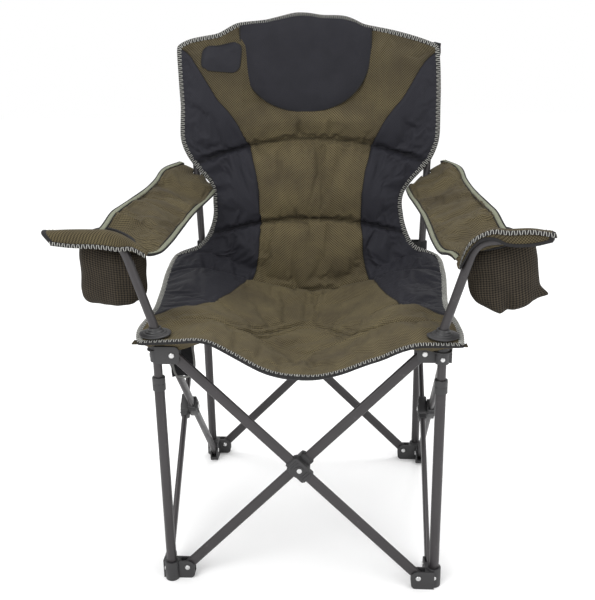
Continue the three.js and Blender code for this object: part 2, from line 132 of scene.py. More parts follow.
def blend_colours(material, share, first, second, kind="MIX"):
    mix = add_node(material, "ShaderNodeMix", data_type="RGBA", blend_type=kind)
    for index, value in ((0, share), (6, first), (7, second)):
        if isinstance(value, bpy.types.NodeSocket):
            material.node_tree.links.new(value, mix.inputs[index])
        else:
            mix.inputs[index].default_value = value
    return mix.outputs[2]


def own_place(material):
    """Where a point is on the chair, for a pattern that runs through a piece."""
    return add_node(material, "ShaderNodeTexCoord").outputs["Object"]


def noise_of(material, where, scale, detail=2.0, roughness=0.5):
    feeds = {"Vector": where, "Scale": scale, "Detail": detail, "Roughness": roughness}
    return add_node(material, "ShaderNodeTexNoise", feeds).outputs["Fac"]


bpy.ops.object.select_all(action="DESELECT")
bpy.ops.mesh.primitive_plane_add(size=14, location=(0, 1.5, 0))
floor = bpy.context.object
floor.name = "floor"
floor_paint, floor_shader = new_material("floor_paint", 0.9)
place = own_place(floor_paint)
clouds = noise_of(floor_paint, place, 1.5)
white = blend_colours(floor_paint, clouds, (0.95, 0.95, 0.95, 1), (0.97, 0.97, 0.97, 1))
feed(floor_paint, white, floor_shader, "Base Color")
floor_shader.inputs["Emission Color"].default_value = (1, 1, 1, 1)
floor_shader.inputs["Emission Strength"].default_value = 0.05
floor.data.materials.append(floor_paint)

# ---------------------------------------------------------------------------------------------------
# Leg tubes: four upright 19 mm steel tubes, powder coated a dark warm grey. Their upper ends are open
# for the posts, and their lower ends are pressed into the feet.
bodies = frame["record"]["behaviour"]["bodies"]
body_of = {node: body for body, members in bodies.items() for node in members}
corner_turns = {"front_right": 0, "rear_right": 1, "rear_left": 2, "front_left": 3}


def middle(node):
    low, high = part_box(node)
    return (low + high) / 2


axis_front_right = middle("leg_tube_front_right")
plan_centre = (axis_front_right + middle("leg_tube_rear_left")) / 2
plan_centre.z = 0


def quarter(turns):
    """A turn of the front side, or of the front right corner, to another side of the square."""
    spin = Matrix.Rotation(turns * math.pi / 2, 4, "Z")
    return Matrix.Translation(plan_centre) @ spin @ Matrix.Translation(-plan_centre)


def primitive(name, add, **sizes):
    bpy.ops.object.select_all(action="DESELECT")
    add(**sizes)
    piece = bpy.context.object
    piece.name = name
    piece.data.name = name
    bpy.ops.object.transform_apply(location=True, rotation=True, scale=True)
    return piece


def choose(piece):
    """Selects one piece alone and makes it the active one."""
    bpy.ops.object.select_all(action="DESELECT")
    bpy.context.view_layer.objects.active = piece
    piece.select_set(True)


def modify(piece, kind, **settings):
    """Adds a modifier and applies it."""
    choose(piece)
    modifier = piece.modifiers.new(kind.lower(), kind)
    for key, value in settings.items():
        setattr(modifier, key, value)
    bpy.ops.object.modifier_apply(modifier=modifier.name)
    return piece


def smooth(piece, degrees=35):
    choose(piece)
    bpy.ops.object.shade_smooth_by_angle(angle=math.radians(degrees))
    return piece


def soften(piece, width=0.0006, degrees=40):
    modify(piece, "BEVEL", width=width, segments=2, limit_method="ANGLE", angle_limit=math.radians(degrees))
    return smooth(piece)


def copy_of(piece, name, matrix=Matrix.Identity(4)):
    twin = bpy.data.objects.new(name, piece.data.copy())
    twin.data.name = name
    twin.data.transform(matrix)
    bpy.context.scene.collection.objects.link(twin)
    return twin


def discard(piece):
    bpy.data.objects.remove(piece)


def fit(piece, material, slot, body, *nodes):
    """Gives a finished piece its material and its body, and hides the nodes that it stands for."""
    if not piece.data.materials:
        piece.data.materials.append(material)
    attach(piece, body)
    if nodes:
        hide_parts(*nodes)
    return piece


def calculate(material, operation, first, second=0.5, third=None, clamp=False):
    node = add_node(material, "ShaderNodeMath", operation=operation, use_clamp=clamp)
    for index, value in enumerate((first, second, third)):
        if isinstance(value, bpy.types.NodeSocket):
            material.node_tree.links.new(value, node.inputs[index])
        elif value is not None:
            node.inputs[index].default_value = value
    return node.outputs[0]


def ramp(material, source, low, high, to_low=0.0, to_high=1.0):
    feeds = {"Value": source, "From Min": low, "From Max": high, "To Min": to_low, "To Max": to_high}
    return add_node(material, "ShaderNodeMapRange", feeds, clamp=True).outputs["Result"]


def raise_bumps(material, shader, height, distance, strength=1.0):
    feeds = {"Height": height, "Distance": distance, "Strength": strength}
    bump = add_node(material, "ShaderNodeBump", feeds)
    feed(material, bump.outputs["Normal"], shader, "Normal")


# Powder coat: a fine orange-peel skin with a soft satin shine and faint rubbed patches.
powder_coat, shader = new_material("powder_coat", 0.4, metallic=0.35)
place = own_place(powder_coat)
mottle = noise_of(powder_coat, place, 26, 4)
rubbed = ramp(powder_coat, noise_of(powder_coat, place, 70, 6, 0.7), 0.62, 0.74)
paint_colour = blend_colours(powder_coat, mottle, (0.026, 0.024, 0.025, 1), (0.044, 0.040, 0.042, 1))
paint_colour = blend_colours(powder_coat, calculate(powder_coat, "MULTIPLY", rubbed, 0.35), paint_colour,
                             (0.14, 0.132, 0.13, 1))
feed(powder_coat, paint_colour, shader, "Base Color")
feed(powder_coat, ramp(powder_coat, mottle, 0.3, 0.7, 0.33, 0.47), shader, "Roughness")
peel = noise_of(powder_coat, place, 900, 2)
raise_bumps(powder_coat, shader, peel, 0.00012, 0.5)

leg_low, leg_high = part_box("leg_tube_front_right")
leg_radius = (leg_high.x - leg_low.x) / 2
leg_wall = 0.0012
leg_template = primitive(
    "leg_template", bpy.ops.mesh.primitive_cylinder_add, vertices=36, radius=leg_radius,
    depth=leg_high.z - leg_low.z, end_fill_type="NOTHING", location=middle("leg_tube_front_right"))
modify(leg_template, "SOLIDIFY", thickness=leg_wall, offset=-1)
soften(leg_template, 0.0003, 60)
for corner, turns in corner_turns.items():
    leg = copy_of(leg_template, f"leg_{corner}", quarter(turns))
    fit(leg, powder_coat, "frame_paint", body_of[f"leg_tube_{corner}"], f"leg_tube_{corner}")
discard(leg_template)

# ---------------------------------------------------------------------------------------------------
# Feet: black moulded nylon. A socket with a visible lip takes the leg, and two slotted ears with
# rounded ends hold the lower ends of the cross tubes.
def select_where(piece, test):
    """Goes into edit mode with just the vertices chosen whose place passes the test."""
    choose(piece)
    bpy.ops.object.mode_set(mode="EDIT")
    bpy.ops.mesh.select_mode(type="VERT")
    bpy.ops.mesh.select_all(action="DESELECT")
    cage = bmesh.from_edit_mesh(piece.data)
    for vertex in cage.verts:
        vertex.select = test(vertex.co)
    cage.select_flush(True)
    bmesh.update_edit_mesh(piece.data)


def leave_edit(piece):
    bpy.ops.object.mode_set(mode="OBJECT")
    return piece


def union(piece, other):
    modify(piece, "BOOLEAN", operation="UNION", object=other, solver="EXACT")
    discard(other)


def subtract(piece, other):
    modify(piece, "BOOLEAN", operation="DIFFERENCE", object=other, solver="EXACT")
    discard(other)


def block(name, low, high):
    low, high = Vector(low), Vector(high)
    return primitive(name, bpy.ops.mesh.primitive_cube_add, size=1, location=(low + high) / 2,
                     scale=high - low)


def round_edges(piece, test, radius, segments=6):
    """Rounds the edges whose ends both pass the test."""
    select_where(piece, test)
    bpy.ops.mesh.bevel(offset=radius, segments=segments, affect="EDGES")
    return leave_edit(piece)


moulded_nylon, shader = new_material("moulded_nylon", 0.5)
place = own_place(moulded_nylon)
flow = noise_of(moulded_nylon, place, 40, 3)
feed(moulded_nylon, blend_colours(moulded_nylon, flow, (0.011, 0.011, 0.012, 1), (0.026, 0.025, 0.026, 1)),
     shader, "Base Color")
feed(moulded_nylon, ramp(moulded_nylon, flow, 0.3, 0.7, 0.4, 0.6), shader, "Roughness")
raise_bumps(moulded_nylon, shader, noise_of(moulded_nylon, place, 1400, 2), 0.0001, 0.5)

half = axis_front_right.x
front_y = axis_front_right.y
foot_pivot = middle("front_foot_rivet_left")
inset = half + foot_pivot.x
layer = foot_pivot.y - front_y
tube_width = 0.0205
tube_thickness = 0.011
overhang = 0.008             # how far a cross tube goes on past its rivet
play = 0.0004
ear_width = 0.0178
ear_top_radius, ear_foot_radius = 0.012, 0.009
tip = math.hypot(overhang, tube_width / 2) + play
foot_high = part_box("foot_front_right")[1]
foot_x, foot_y = half, front_y
ear_end = inset + tip
ear_top = foot_pivot.z + tip
socket_radius = foot_high.x - half
foot_template = primitive("foot_template", bpy.ops.mesh.primitive_cylinder_add, vertices=40,
                          radius=socket_radius, depth=foot_high.z,
                          location=(foot_x, foot_y, foot_high.z / 2))
round_edges(foot_template, lambda co: co.z < 0.001, 0.002, 3)
round_edges(foot_template, lambda co: co.z > foot_high.z - 0.001, 0.0012, 2)


def ear_block(name, low_z, high_z, side_layer):
    """The ear of the tube towards the left, its outer end still square."""
    return block(name, (foot_x - ear_end, foot_y + side_layer - ear_width / 2, low_z),
                 (foot_x, foot_y + side_layer + ear_width / 2, high_z))


def towards_next(piece):
    """Turns an ear from the left-hand tube to the tube of the next side, about the post."""
    post = Matrix.Translation((foot_x, foot_y, 0))
    spin = Matrix.Rotation(-math.pi / 2, 4, "Z")
    return copy_of(piece, piece.name + "_next", post @ spin @ post.inverted())


ear = ear_block("foot_ear", 0, ear_top, -layer)
round_edges(ear, lambda co: co.x < foot_x - ear_end + 1e-5 and co.z > ear_top - 1e-5, ear_top_radius)
round_edges(ear, lambda co: co.x < foot_x - ear_end + 1e-5 and co.z < 1e-5, ear_foot_radius)
slot_cut = block("foot_slot", (foot_x - 3 * ear_end, foot_y - layer - tube_thickness / 2 - play,
                               foot_pivot.z - tip),
                 (foot_x - inset + tip, foot_y - layer + tube_thickness / 2 + play, 0.2))
next_ear = towards_next(ear)
next_slot = towards_next(slot_cut)
union(foot_template, ear)
union(foot_template, next_ear)
subtract(foot_template, slot_cut)
subtract(foot_template, next_slot)
bore_floor = 0.0063
bore = primitive("foot_bore", bpy.ops.mesh.primitive_cylinder_add, vertices=36, radius=leg_radius + 0.0003,
                 depth=0.1, location=(foot_x, foot_y, bore_floor + 0.05))
subtract(foot_template, bore)
soften(foot_template, 0.0007)
for corner, turns in corner_turns.items():
    foot = copy_of(foot_template, f"foot_moulding_{corner}", quarter(turns))
    fit(foot, moulded_nylon, "black_plastic", body_of[f"foot_{corner}"], f"foot_{corner}")
discard(foot_template)

# ---------------------------------------------------------------------------------------------------
# Rivets: zinc-plated steel with low domed heads, through every pivot. One more small head on each
# foot and each bracket holds the moulding to its tube.
zinc, shader = new_material("zinc_rivet", 0.3, metallic=1.0)
place = own_place(zinc)
scuffs = noise_of(zinc, place, 500, 5, 0.7)
feed(zinc, blend_colours(zinc, scuffs, (0.3, 0.3, 0.31, 1), (0.78, 0.78, 0.77, 1)), shader, "Base Color")
feed(zinc, ramp(zinc, scuffs, 0.3, 0.7, 0.22, 0.42), shader, "Roughness")
raise_bumps(zinc, shader, scuffs, 0.00008, 0.4)

side_turns = {"front": 0, "right": 1, "rear": 2, "left": 3}
crossing = middle("front_hub_rivet")
head_radius = 0.0052
head_height = 0.0022
small_head = (0.0042, 0.0018)      # radius and height of the heads that hold the mouldings
head_sink = 0.0004
pin_radius = 0.003


def rivet_head(name, place, outward, radius=head_radius, height=head_height):
    """A low dome that sits at a place and looks along outward."""
    turn = Vector(outward).to_track_quat("Z", "Y").to_matrix().to_4x4()
    head = primitive(name, bpy.ops.mesh.primitive_cylinder_add, vertices=28, radius=radius, depth=height,
                     location=(0, 0, height / 2))
    round_edges(head, lambda co: co.z > height * 0.99, height * 0.92, 6)
    head.data.transform(Matrix.Translation(place) @ turn)
    return smooth(head, 60)


def joined(name, pieces):
    bpy.ops.object.select_all(action="DESELECT")
    for piece in pieces:
        piece.select_set(True)
    bpy.context.view_layer.objects.active = pieces[0]
    bpy.ops.object.join()
    whole = bpy.context.object
    whole.name = name
    whole.data.name = name
    return whole


def through_rivet(name, place, outward, length):
    """A pin with a head at both ends, `length` over its heads."""
    outward = Vector(outward)
    face = length / 2 - head_height
    pin = primitive(name, bpy.ops.mesh.primitive_cylinder_add, vertices=20, radius=pin_radius,
                    depth=2 * face)
    pin.data.transform(Matrix.Translation(place) @ outward.to_track_quat("Z", "Y").to_matrix().to_4x4())
    heads = [rivet_head(name + "_head", Vector(place) + outward * face * sign, outward * sign)
             for sign in (-1, 1)]
    return joined(name, [pin, *heads])


def length_along_y(node):
    low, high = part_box(node)
    return high.y - low.y


outward_front = Vector((0, -1, 0))
hub_rivet = through_rivet("hub_rivet", crossing, outward_front, length_along_y("front_hub_rivet"))
foot_rivet = through_rivet("foot_rivet", foot_pivot, outward_front, length_along_y("front_foot_rivet_left"))
far_foot = Matrix.Translation(Vector((2 * (half - inset), -2 * layer, 0)))
for side, turns in side_turns.items():
    node = f"{side}_hub_rivet"
    fit(copy_of(hub_rivet, f"rivet_hub_{side}", quarter(turns)), zinc, "rivet_zinc", body_of[node], node)
    for end, shift in (("left", Matrix.Identity(4)), ("right", far_foot)):
        node = f"{side}_foot_rivet_{end}"
        rivet = copy_of(foot_rivet, f"rivet_foot_{side}_{end}", quarter(turns) @ shift)
        fit(rivet, zinc, "rivet_zinc", body_of[node], node)
for corner, turns in corner_turns.items():
    place = quarter(turns) @ Vector((half, front_y - socket_radius + head_sink, 0.022))
    outward = quarter(turns).to_3x3() @ outward_front
    head = rivet_head(f"rivet_socket_{corner}", place, outward, *small_head)
    fit(head, zinc, "rivet_zinc", body_of[f"foot_{corner}"])
discard(hub_rivet)
discard(foot_rivet)

# ---------------------------------------------------------------------------------------------------
# Collars: black nylon, pressed over the mouths of the leg tubes, with a lip that the post slides in.
collar_low, collar_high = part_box("leg_collar_front_right")
collar_radius = (collar_high.x - collar_low.x) / 2
post_radius = 0.008
leg_top = leg_high.z
collar = primitive("collar", bpy.ops.mesh.primitive_cylinder_add, vertices=40, radius=collar_radius,
                   depth=collar_high.z - collar_low.z, location=middle("leg_collar_front_right"))
round_edges(collar, lambda co: co.z > collar_high.z - 1e-4, 0.0022, 4)
round_edges(collar, lambda co: co.z < collar_low.z + 1e-4, 0.0006, 2)
groove_z = leg_top + 0.0035
groove = primitive("collar_groove", bpy.ops.mesh.primitive_torus_add, major_radius=collar_radius + 0.0004,
                   minor_radius=0.0009, major_segments=40, minor_segments=8,
                   location=(half, front_y, groove_z))
subtract(collar, groove)
bore = primitive("collar_bore", bpy.ops.mesh.primitive_cylinder_add, vertices=36,
                 radius=post_radius + play, depth=0.2, location=(half, front_y, leg_top))
subtract(collar, bore)
bore = primitive("collar_skirt", bpy.ops.mesh.primitive_cylinder_add, vertices=36,
                 radius=leg_radius + 0.0002, depth=0.1, location=(half, front_y, leg_top - 0.05))
subtract(collar, bore)
soften(collar, 0.0003)
for corner, turns in corner_turns.items():
    node = f"leg_collar_{corner}"
    piece = copy_of(collar, f"collar_{corner}", quarter(turns))
    fit(piece, moulded_nylon, "black_plastic", body_of[node], node)
discard(collar)

# ---------------------------------------------------------------------------------------------------
# Cross tubes: flat-oval steel tube in the same powder coat, two to a side, riveted where they cross
# and in the feet and corner brackets. The ends are pressed round.
seat_pivot_z = 2 * crossing.z - foot_pivot.z
span = 2 * (half - inset)
rise = seat_pivot_z - foot_pivot.z
cross_length = math.hypot(span, rise)
cross_lean = math.atan2(span, rise)
cross_tube = primitive("cross_tube", bpy.ops.mesh.primitive_cylinder_add, vertices=32,
                       radius=tube_thickness / 2, depth=cross_length + 2 * overhang)
reach = (tube_width - tube_thickness) / 2
pressed_length = 0.028
for sign in (-1, 1):
    select_where(cross_tube, lambda co: co.x * sign > 1e-5)
    bpy.ops.transform.translate(value=(sign * reach, 0, 0))
    leave_edit(cross_tube)
    round_edges(cross_tube, lambda co: co.z * sign > cross_length / 2, 0.0028, 4)
    pinched = cross_length / 2 - pressed_length
    select_where(cross_tube, lambda co: co.z * sign > pinched and abs(co.x) > reach)
    bpy.ops.transform.resize(value=(0.97, 0.9, 1))
    leave_edit(cross_tube)
smooth(cross_tube, 50)


def crossing_place(inward, turns):
    """Where a tube or clamp modelled upright about its middle goes: inward is 1 for the inner layer."""
    tilt = Matrix.Rotation(inward * cross_lean, 4, "Y")
    return quarter(turns) @ Matrix.Translation((0, front_y + inward * layer, crossing.z)) @ tilt


for side, turns in side_turns.items():
    for level, inward in (("inner", 1), ("outer", -1)):
        node = f"{side}_cross_tube_{level}"
        tube = copy_of(cross_tube, f"tube_{side}_{level}", crossing_place(inward, turns))
        fit(tube, powder_coat, "frame_paint", body_of[node], node)
discard(cross_tube)

# ---------------------------------------------------------------------------------------------------
# Hub clamps: black nylon blocks round the cross tubes, two to a hub, with cut-off corners, moulded
# ribs across the outer face and a round boss for the rivet.
clamp_width = 0.030
clamp_length = 0.046
clamp_wall = 0.0028
clamp_depth = tube_thickness + 2 * clamp_wall
rib_reach, rib_half_width = 0.0095, 0.0011
clamp = block("clamp", (-clamp_width / 2, -clamp_depth / 2, -clamp_length / 2),
              (clamp_width / 2, clamp_depth / 2, clamp_length / 2))
for sign, cut_off in ((1, 0.011), (-1, 0.004)):
    round_edges(clamp, lambda co: co.x * co.z * sign < 0, cut_off, 1 if sign > 0 else 4)
ribs = []
for height in (-0.0175, -0.0125, 0.0125, 0.0175):
    rib = block("clamp_rib", (-rib_reach, -clamp_depth / 2 - 0.0011, height - rib_half_width),
                (rib_reach, -clamp_depth / 2 + 0.001, height + rib_half_width))
    ribs.append(soften(rib, 0.0006))
boss = primitive("clamp_boss", bpy.ops.mesh.primitive_cylinder_add, vertices=36, radius=0.0088, depth=0.003,
                 location=(0, -clamp_depth / 2 - 0.0004, 0), rotation=(math.pi / 2, 0, 0))
round_edges(boss, lambda co: co.y < -clamp_depth / 2 - 0.001, 0.0007, 3)
lip_reach = Vector((tube_width / 2 + 0.0015, tube_thickness / 2 + 0.0014, clamp_length / 2 + 0.0016))
lip = block("clamp_lip", -lip_reach, lip_reach)
round_edges(lip, lambda co: True, 0.0012, 3)
soften(clamp, 0.0011, 30)
clamp = joined("clamp", [clamp, lip, boss, *ribs])
for side, turns in side_turns.items():
    for level, inward in (("inner", 1), ("outer", -1)):
        node = f"{side}_hub_clamp_{level}"
        face = Matrix.Rotation(math.pi if inward > 0 else 0, 4, "Z")
        piece = copy_of(clamp, f"clamp_{side}_{level}", crossing_place(inward, turns) @ face)
        fit(piece, moulded_nylon, "black_plastic", body_of[node], node)
discard(clamp)

# ---------------------------------------------------------------------------------------------------
# Corner brackets: black nylon sleeves on the posts, each with two hoods that hang over the upper ends
# of the cross tubes and hold them by a rivet.
wall = 0.003
hood_top = seat_pivot_z + tip + wall
hood_bottom = seat_pivot_z - tip - wall
sleeve_radius = 0.0125
bracket = primitive("bracket", bpy.ops.mesh.primitive_cylinder_add, vertices=36, radius=sleeve_radius,
                    depth=hood_top - hood_bottom, location=(half, front_y, (hood_top + hood_bottom) / 2))
round_edges(bracket, lambda co: True, 0.001, 2)
hood = ear_block("hood", hood_bottom, hood_top, layer)
round_edges(hood, lambda co: co.x < foot_x - ear_end + 1e-5 and co.z > hood_top - 1e-5, 0.009)
round_edges(hood, lambda co: co.x < foot_x - ear_end + 1e-5 and co.z < hood_bottom + 1e-5, 0.009)
slot_cut = block("hood_slot", (half - 3 * ear_end, front_y + layer - tube_thickness / 2 - play, 0.3),
                 (half - inset + tip, front_y + layer + tube_thickness / 2 + play, seat_pivot_z + tip))
next_hood = towards_next(hood)
next_slot = towards_next(slot_cut)
union(bracket, hood)
union(bracket, next_hood)
subtract(bracket, slot_cut)
subtract(bracket, next_slot)
soften(bracket, 0.0006)
bracket_rivet = through_rivet("bracket_rivet", (half - inset, front_y + layer, seat_pivot_z), outward_front,
                              ear_width + 2 * head_height)
bracket_rivets = joined("bracket_rivets", [bracket_rivet, towards_next(bracket_rivet)])
for corner, turns in corner_turns.items():
    node = f"corner_bracket_{corner}"
    piece = copy_of(bracket, f"bracket_{corner}", quarter(turns))
    fit(piece, moulded_nylon, "black_plastic", body_of[node], node)
    rivets = copy_of(bracket_rivets, f"rivets_bracket_{corner}", quarter(turns))
    fit(rivets, zinc, "rivet_zinc", body_of[node])
    place = quarter(turns) @ Vector((half, front_y - sleeve_radius + head_sink, seat_pivot_z - 0.006))
    outward = quarter(turns).to_3x3() @ outward_front
    head = rivet_head(f"rivet_sleeve_{corner}", place, outward, *small_head)
    fit(head, zinc, "rivet_zinc", body_of[node])
discard(bracket)
discard(bracket_rivets)

# ---------------------------------------------------------------------------------------------------
# Arm posts and back uprights: 16 mm steel tube that slides in the legs. The front pair is bent outward
# over the seat corners and then flat under the arm fronts, and the rear pair leans back and splays.
post_low, post_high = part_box("arm_post_right")
upright_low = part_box("back_upright_right")[0]
rear_y = middle("leg_tube_rear_left").y
rim = seat_pivot_z + 0.032
arm_height = 0.686
shoulder_z = arm_height - 0.008
post_bend_z = rim + 0.012
shoulder_x = half + (shoulder_z - post_bend_z) * math.tan(math.radians(17))
back_lean = math.tan(math.radians(7.5))
back_splay = math.tan(math.radians(2.6))
kink_z = rim - 0.006
arm_bend, upright_bend = 0.042, 0.12
back_top_z = rim + 0.472


def rounded_route(corners, bend, steps=10):
    """Straight runs through the corners, each bend an arc-like curve of that radius."""
    points = [Vector(corners[0])]
    for before, corner, after in zip(corners, corners[1:], corners[2:]):
        corner = Vector(corner)
        back = (Vector(before) - corner).normalized()
        on = (Vector(after) - corner).normalized()
        reach = bend / math.tan(back.angle(on) / 2)
        start, end = corner + back * reach, corner + on * reach
        for step in range(steps + 1):
            t = step / steps
            points.append(start * (1 - t) ** 2 + corner * 2 * t * (1 - t) + end * t * t)
    return [*points, Vector(corners[-1])]


def piece_of(name, shape):
    """Puts a mesh or a curve in the scene as a piece."""
    piece = bpy.data.objects.new(name, shape)
    bpy.context.scene.collection.objects.link(piece)
    return piece


def face_outwards(piece):
    """Turns every face of a piece outwards."""
    select_where(piece, lambda co: True)
    bpy.ops.mesh.normals_make_consistent(inside=False)
    return leave_edit(piece)


def tube_along(name, points, radius, resolution=7, caps=True):
    """A round tube along a route: a curve with a round bevel, made a mesh."""
    curve = bpy.data.curves.new(name, "CURVE")
    curve.dimensions = "3D"
    curve.bevel_depth = radius
    curve.bevel_resolution = resolution
    curve.use_fill_caps = caps
    spline = curve.splines.new("POLY")
    spline.points.add(len(points) - 1)
    for point, place in zip(spline.points, points):
        point.co = (*place, 1)
    choose(piece_of(name, curve))
    bpy.ops.object.convert(target="MESH")
    piece = bpy.context.object
    piece.name = name
    piece.data.name = name
    select_where(piece, lambda co: True)
    bpy.ops.mesh.remove_doubles(threshold=1e-6)
    leave_edit(piece)
    return smooth(face_outwards(piece), 50)


def upright_at(side, z):
    climb = max(z - kink_z, 0)
    return Vector((side * (half + climb * back_splay), rear_y + climb * back_lean, z))


sides = (("left", -1), ("right", 1))
for name, side in sides:
    post = tube_along(f"post_arm_{name}", rounded_route([
        (side * half, front_y, post_low.z), (side * half, front_y, post_bend_z),
        (side * shoulder_x, front_y, shoulder_z), (side * post_high.x, front_y, arm_height)], arm_bend),
        post_radius)
    fit(post, powder_coat, "frame_paint", body_of[f"arm_post_{name}"], f"arm_post_{name}")
    upright = tube_along(f"upright_{name}", rounded_route([
        (side * half, rear_y, upright_low.z), upright_at(side, kink_z), upright_at(side, back_top_z)],
        upright_bend), post_radius)
    fit(upright, powder_coat, "frame_paint", body_of[f"back_upright_{name}"], f"back_upright_{name}")
    cap_place = upright_at(side, back_top_z)
    cap_way = (cap_place - upright_at(side, back_top_z - 0.05)).normalized()
    cap = rivet_head(f"cap_upright_{name}", cap_place - cap_way * 0.004, cap_way, post_radius + 0.0012, 0.007)
    fit(cap, moulded_nylon, "black_plastic", body_of[f"back_upright_{name}"])
    cap = rivet_head(f"cap_arm_{name}", (side * post_high.x, front_y, arm_height), (side, 0, 0),
                     post_radius + 0.0006, 0.004)
    fit(cap, moulded_nylon, "black_plastic", body_of[f"arm_post_{name}"])

# ---------------------------------------------------------------------------------------------------
# The sling: one quilted pad that makes the seat and the back. Its cover has an olive mesh panel down
# the middle between two black polyester panels, and four seams sewn across it through the wadding.
# It hangs from the uprights and the seat corners, so it sags between its edges.
front = -half
rear = half
sling_stations = [  # centre (y, z), edge (x, y, z), share of the half-width that sags, share of plain arc
    ((front - 0.035, rim - 0.062), (half + 0.029, front - 0.030, rim - 0.003), 0.68, 0.0),
    ((front + 0.110, rim - 0.086), (half + 0.015, front + 0.110, rim + 0.002), 0.76, 0.0),
    ((front + 0.285, rim - 0.080), (half + 0.031, front + 0.260, rim - 0.003), 0.95, 0.0),
    ((rear - 0.106, rim - 0.066), (half + 0.044, rear - 0.106, rim + 0.008), 1.0, 0.0),
    ((rear - 0.044, rim - 0.044), (half + 0.038, rear - 0.030, rim + 0.020), 1.0, 0.2),
    ((rear - 0.022, rim + 0.012), (half - 0.017, rear - 0.019, rim + 0.042), 1.0, 0.6),
    ((rear - 0.008, rim + 0.090), (half - 0.045, rear - 0.002, rim + 0.106), 1.0, 1.0),
    ((rear, rim + 0.154), (half - 0.037, rear + 0.001, rim + 0.156), 1.0, 1.0),
    ((rear + 0.012, rim + 0.234), (half + 0.022, rear + 0.009, rim + 0.232), 1.0, 1.0),
    ((rear + 0.028, rim + 0.344), (half + 0.037, rear + 0.023, rim + 0.344), 1.0, 1.0),
    ((rear + 0.039, rim + 0.434), (half + 0.039, rear + 0.034, rim + 0.424), 1.0, 1.0),
    ((rear + 0.050, rim + 0.540), (half + 0.038, rear + 0.041, rim + 0.479), 1.0, 1.0),
]
top_station = len(sling_stations) - 1
crease_station = 4
left_spread = 1.022      # the sling sits a little towards the left edge
side_drift = {  # how far each edge strays outwards from the even shape, by station
    -1: [(0, -0.013), (0.25, 0.005), (0.5, 0.014), (0.75, 0.015), (1, 0.012), (2, 0.011), (3, 0.011),
         (3.7, 0.010), (4.4, 0.016), (5.2, 0.011), (6.2, 0.009), (6.6, 0.008), (7.0, 0), (7.4, -0.015),
         (7.9, -0.012), (8.4, 0), (9.1, -0.009), (11, -0.004)],
    1: [(0, 0.002), (0.38, 0.015), (0.78, 0.018), (1.2, 0.010), (1.7, 0.003), (2.5, 0), (3.8, -0.005),
        (4.7, -0.005), (5.5, 0), (6.1, 0), (6.8, -0.007), (7.54, -0.012), (8.06, -0.005), (8.4, 0),
        (9.1, -0.005), (11, -0.011)],
}
top_wave = [  # how the top edge rises and dips along its length
    (-0.293, 0), (-0.268, 0.002), (-0.235, -0.004), (-0.202, -0.010), (-0.18, -0.004), (-0.161, 0.002),
    (-0.13, -0.001), (-0.097, -0.004), (-0.06, 0), (-0.03, 0.005), (0, 0.003), (0.026, -0.002), (0.074, 0),
    (0.095, -0.004), (0.118, -0.013), (0.15, -0.013), (0.21, -0.011), (0.279, -0.007)]
front_wave = [
    (-0.28, 0), (-0.2, 0.004), (-0.156, 0.010), (-0.12, 0.005), (-0.06, 0), (0, 0.002), (0.05, -0.006),
    (0.086, -0.012), (0.147, -0.017), (0.18, -0.008), (0.21, 0), (0.28, 0)]


def eased(pairs, window):
    """A table of pairs as a function, with its corners rounded over a window."""
    places, values = zip(*pairs)
    fine = np.linspace(places[0], places[-1], 800)
    reach = max(int(window / (fine[1] - fine[0])), 1)
    kernel = np.hanning(2 * reach + 3)[1:-1]
    padded = np.pad(np.interp(fine, places, values), len(kernel) // 2, mode="edge")
    settled = np.convolve(padded, kernel / kernel.sum(), "valid")
    return lambda at: np.interp(at, fine, settled)


drift = {side: eased(pairs, 0.22) for side, pairs in side_drift.items()}
top_rise = eased(top_wave, 0.012)
front_rise = eased(front_wave, 0.02)


def through_points(points, at):
    """A smooth curve through the points, at whole and part steps along them."""
    points = np.asarray(points, float)
    padded = np.vstack([2 * points[0] - points[1], points, 2 * points[-1] - points[-2]])
    at = np.clip(np.asarray(at, float), 0, len(points) - 1)
    i = np.minimum(at.astype(int), len(points) - 2)
    w = (at - i)[..., None]
    p0, p1, p2, p3 = (padded[i + k] for k in range(4))
    gaps = [np.maximum(np.sum((b - a) ** 2, -1, keepdims=True) ** 0.25, 1e-6)
            for a, b in ((p0, p1), (p1, p2), (p2, p3))]
    m1 = ((p1 - p0) / gaps[0] - (p2 - p0) / (gaps[0] + gaps[1]) + (p2 - p1) / gaps[1]) * gaps[1]
    m2 = ((p2 - p1) / gaps[1] - (p3 - p1) / (gaps[1] + gaps[2]) + (p3 - p2) / gaps[2]) * gaps[1]
    return p1 + m1 * w + (3 * (p2 - p1) - 2 * m1 - m2) * w ** 2 + (2 * (p1 - p2) + m1 + m2) * w ** 3


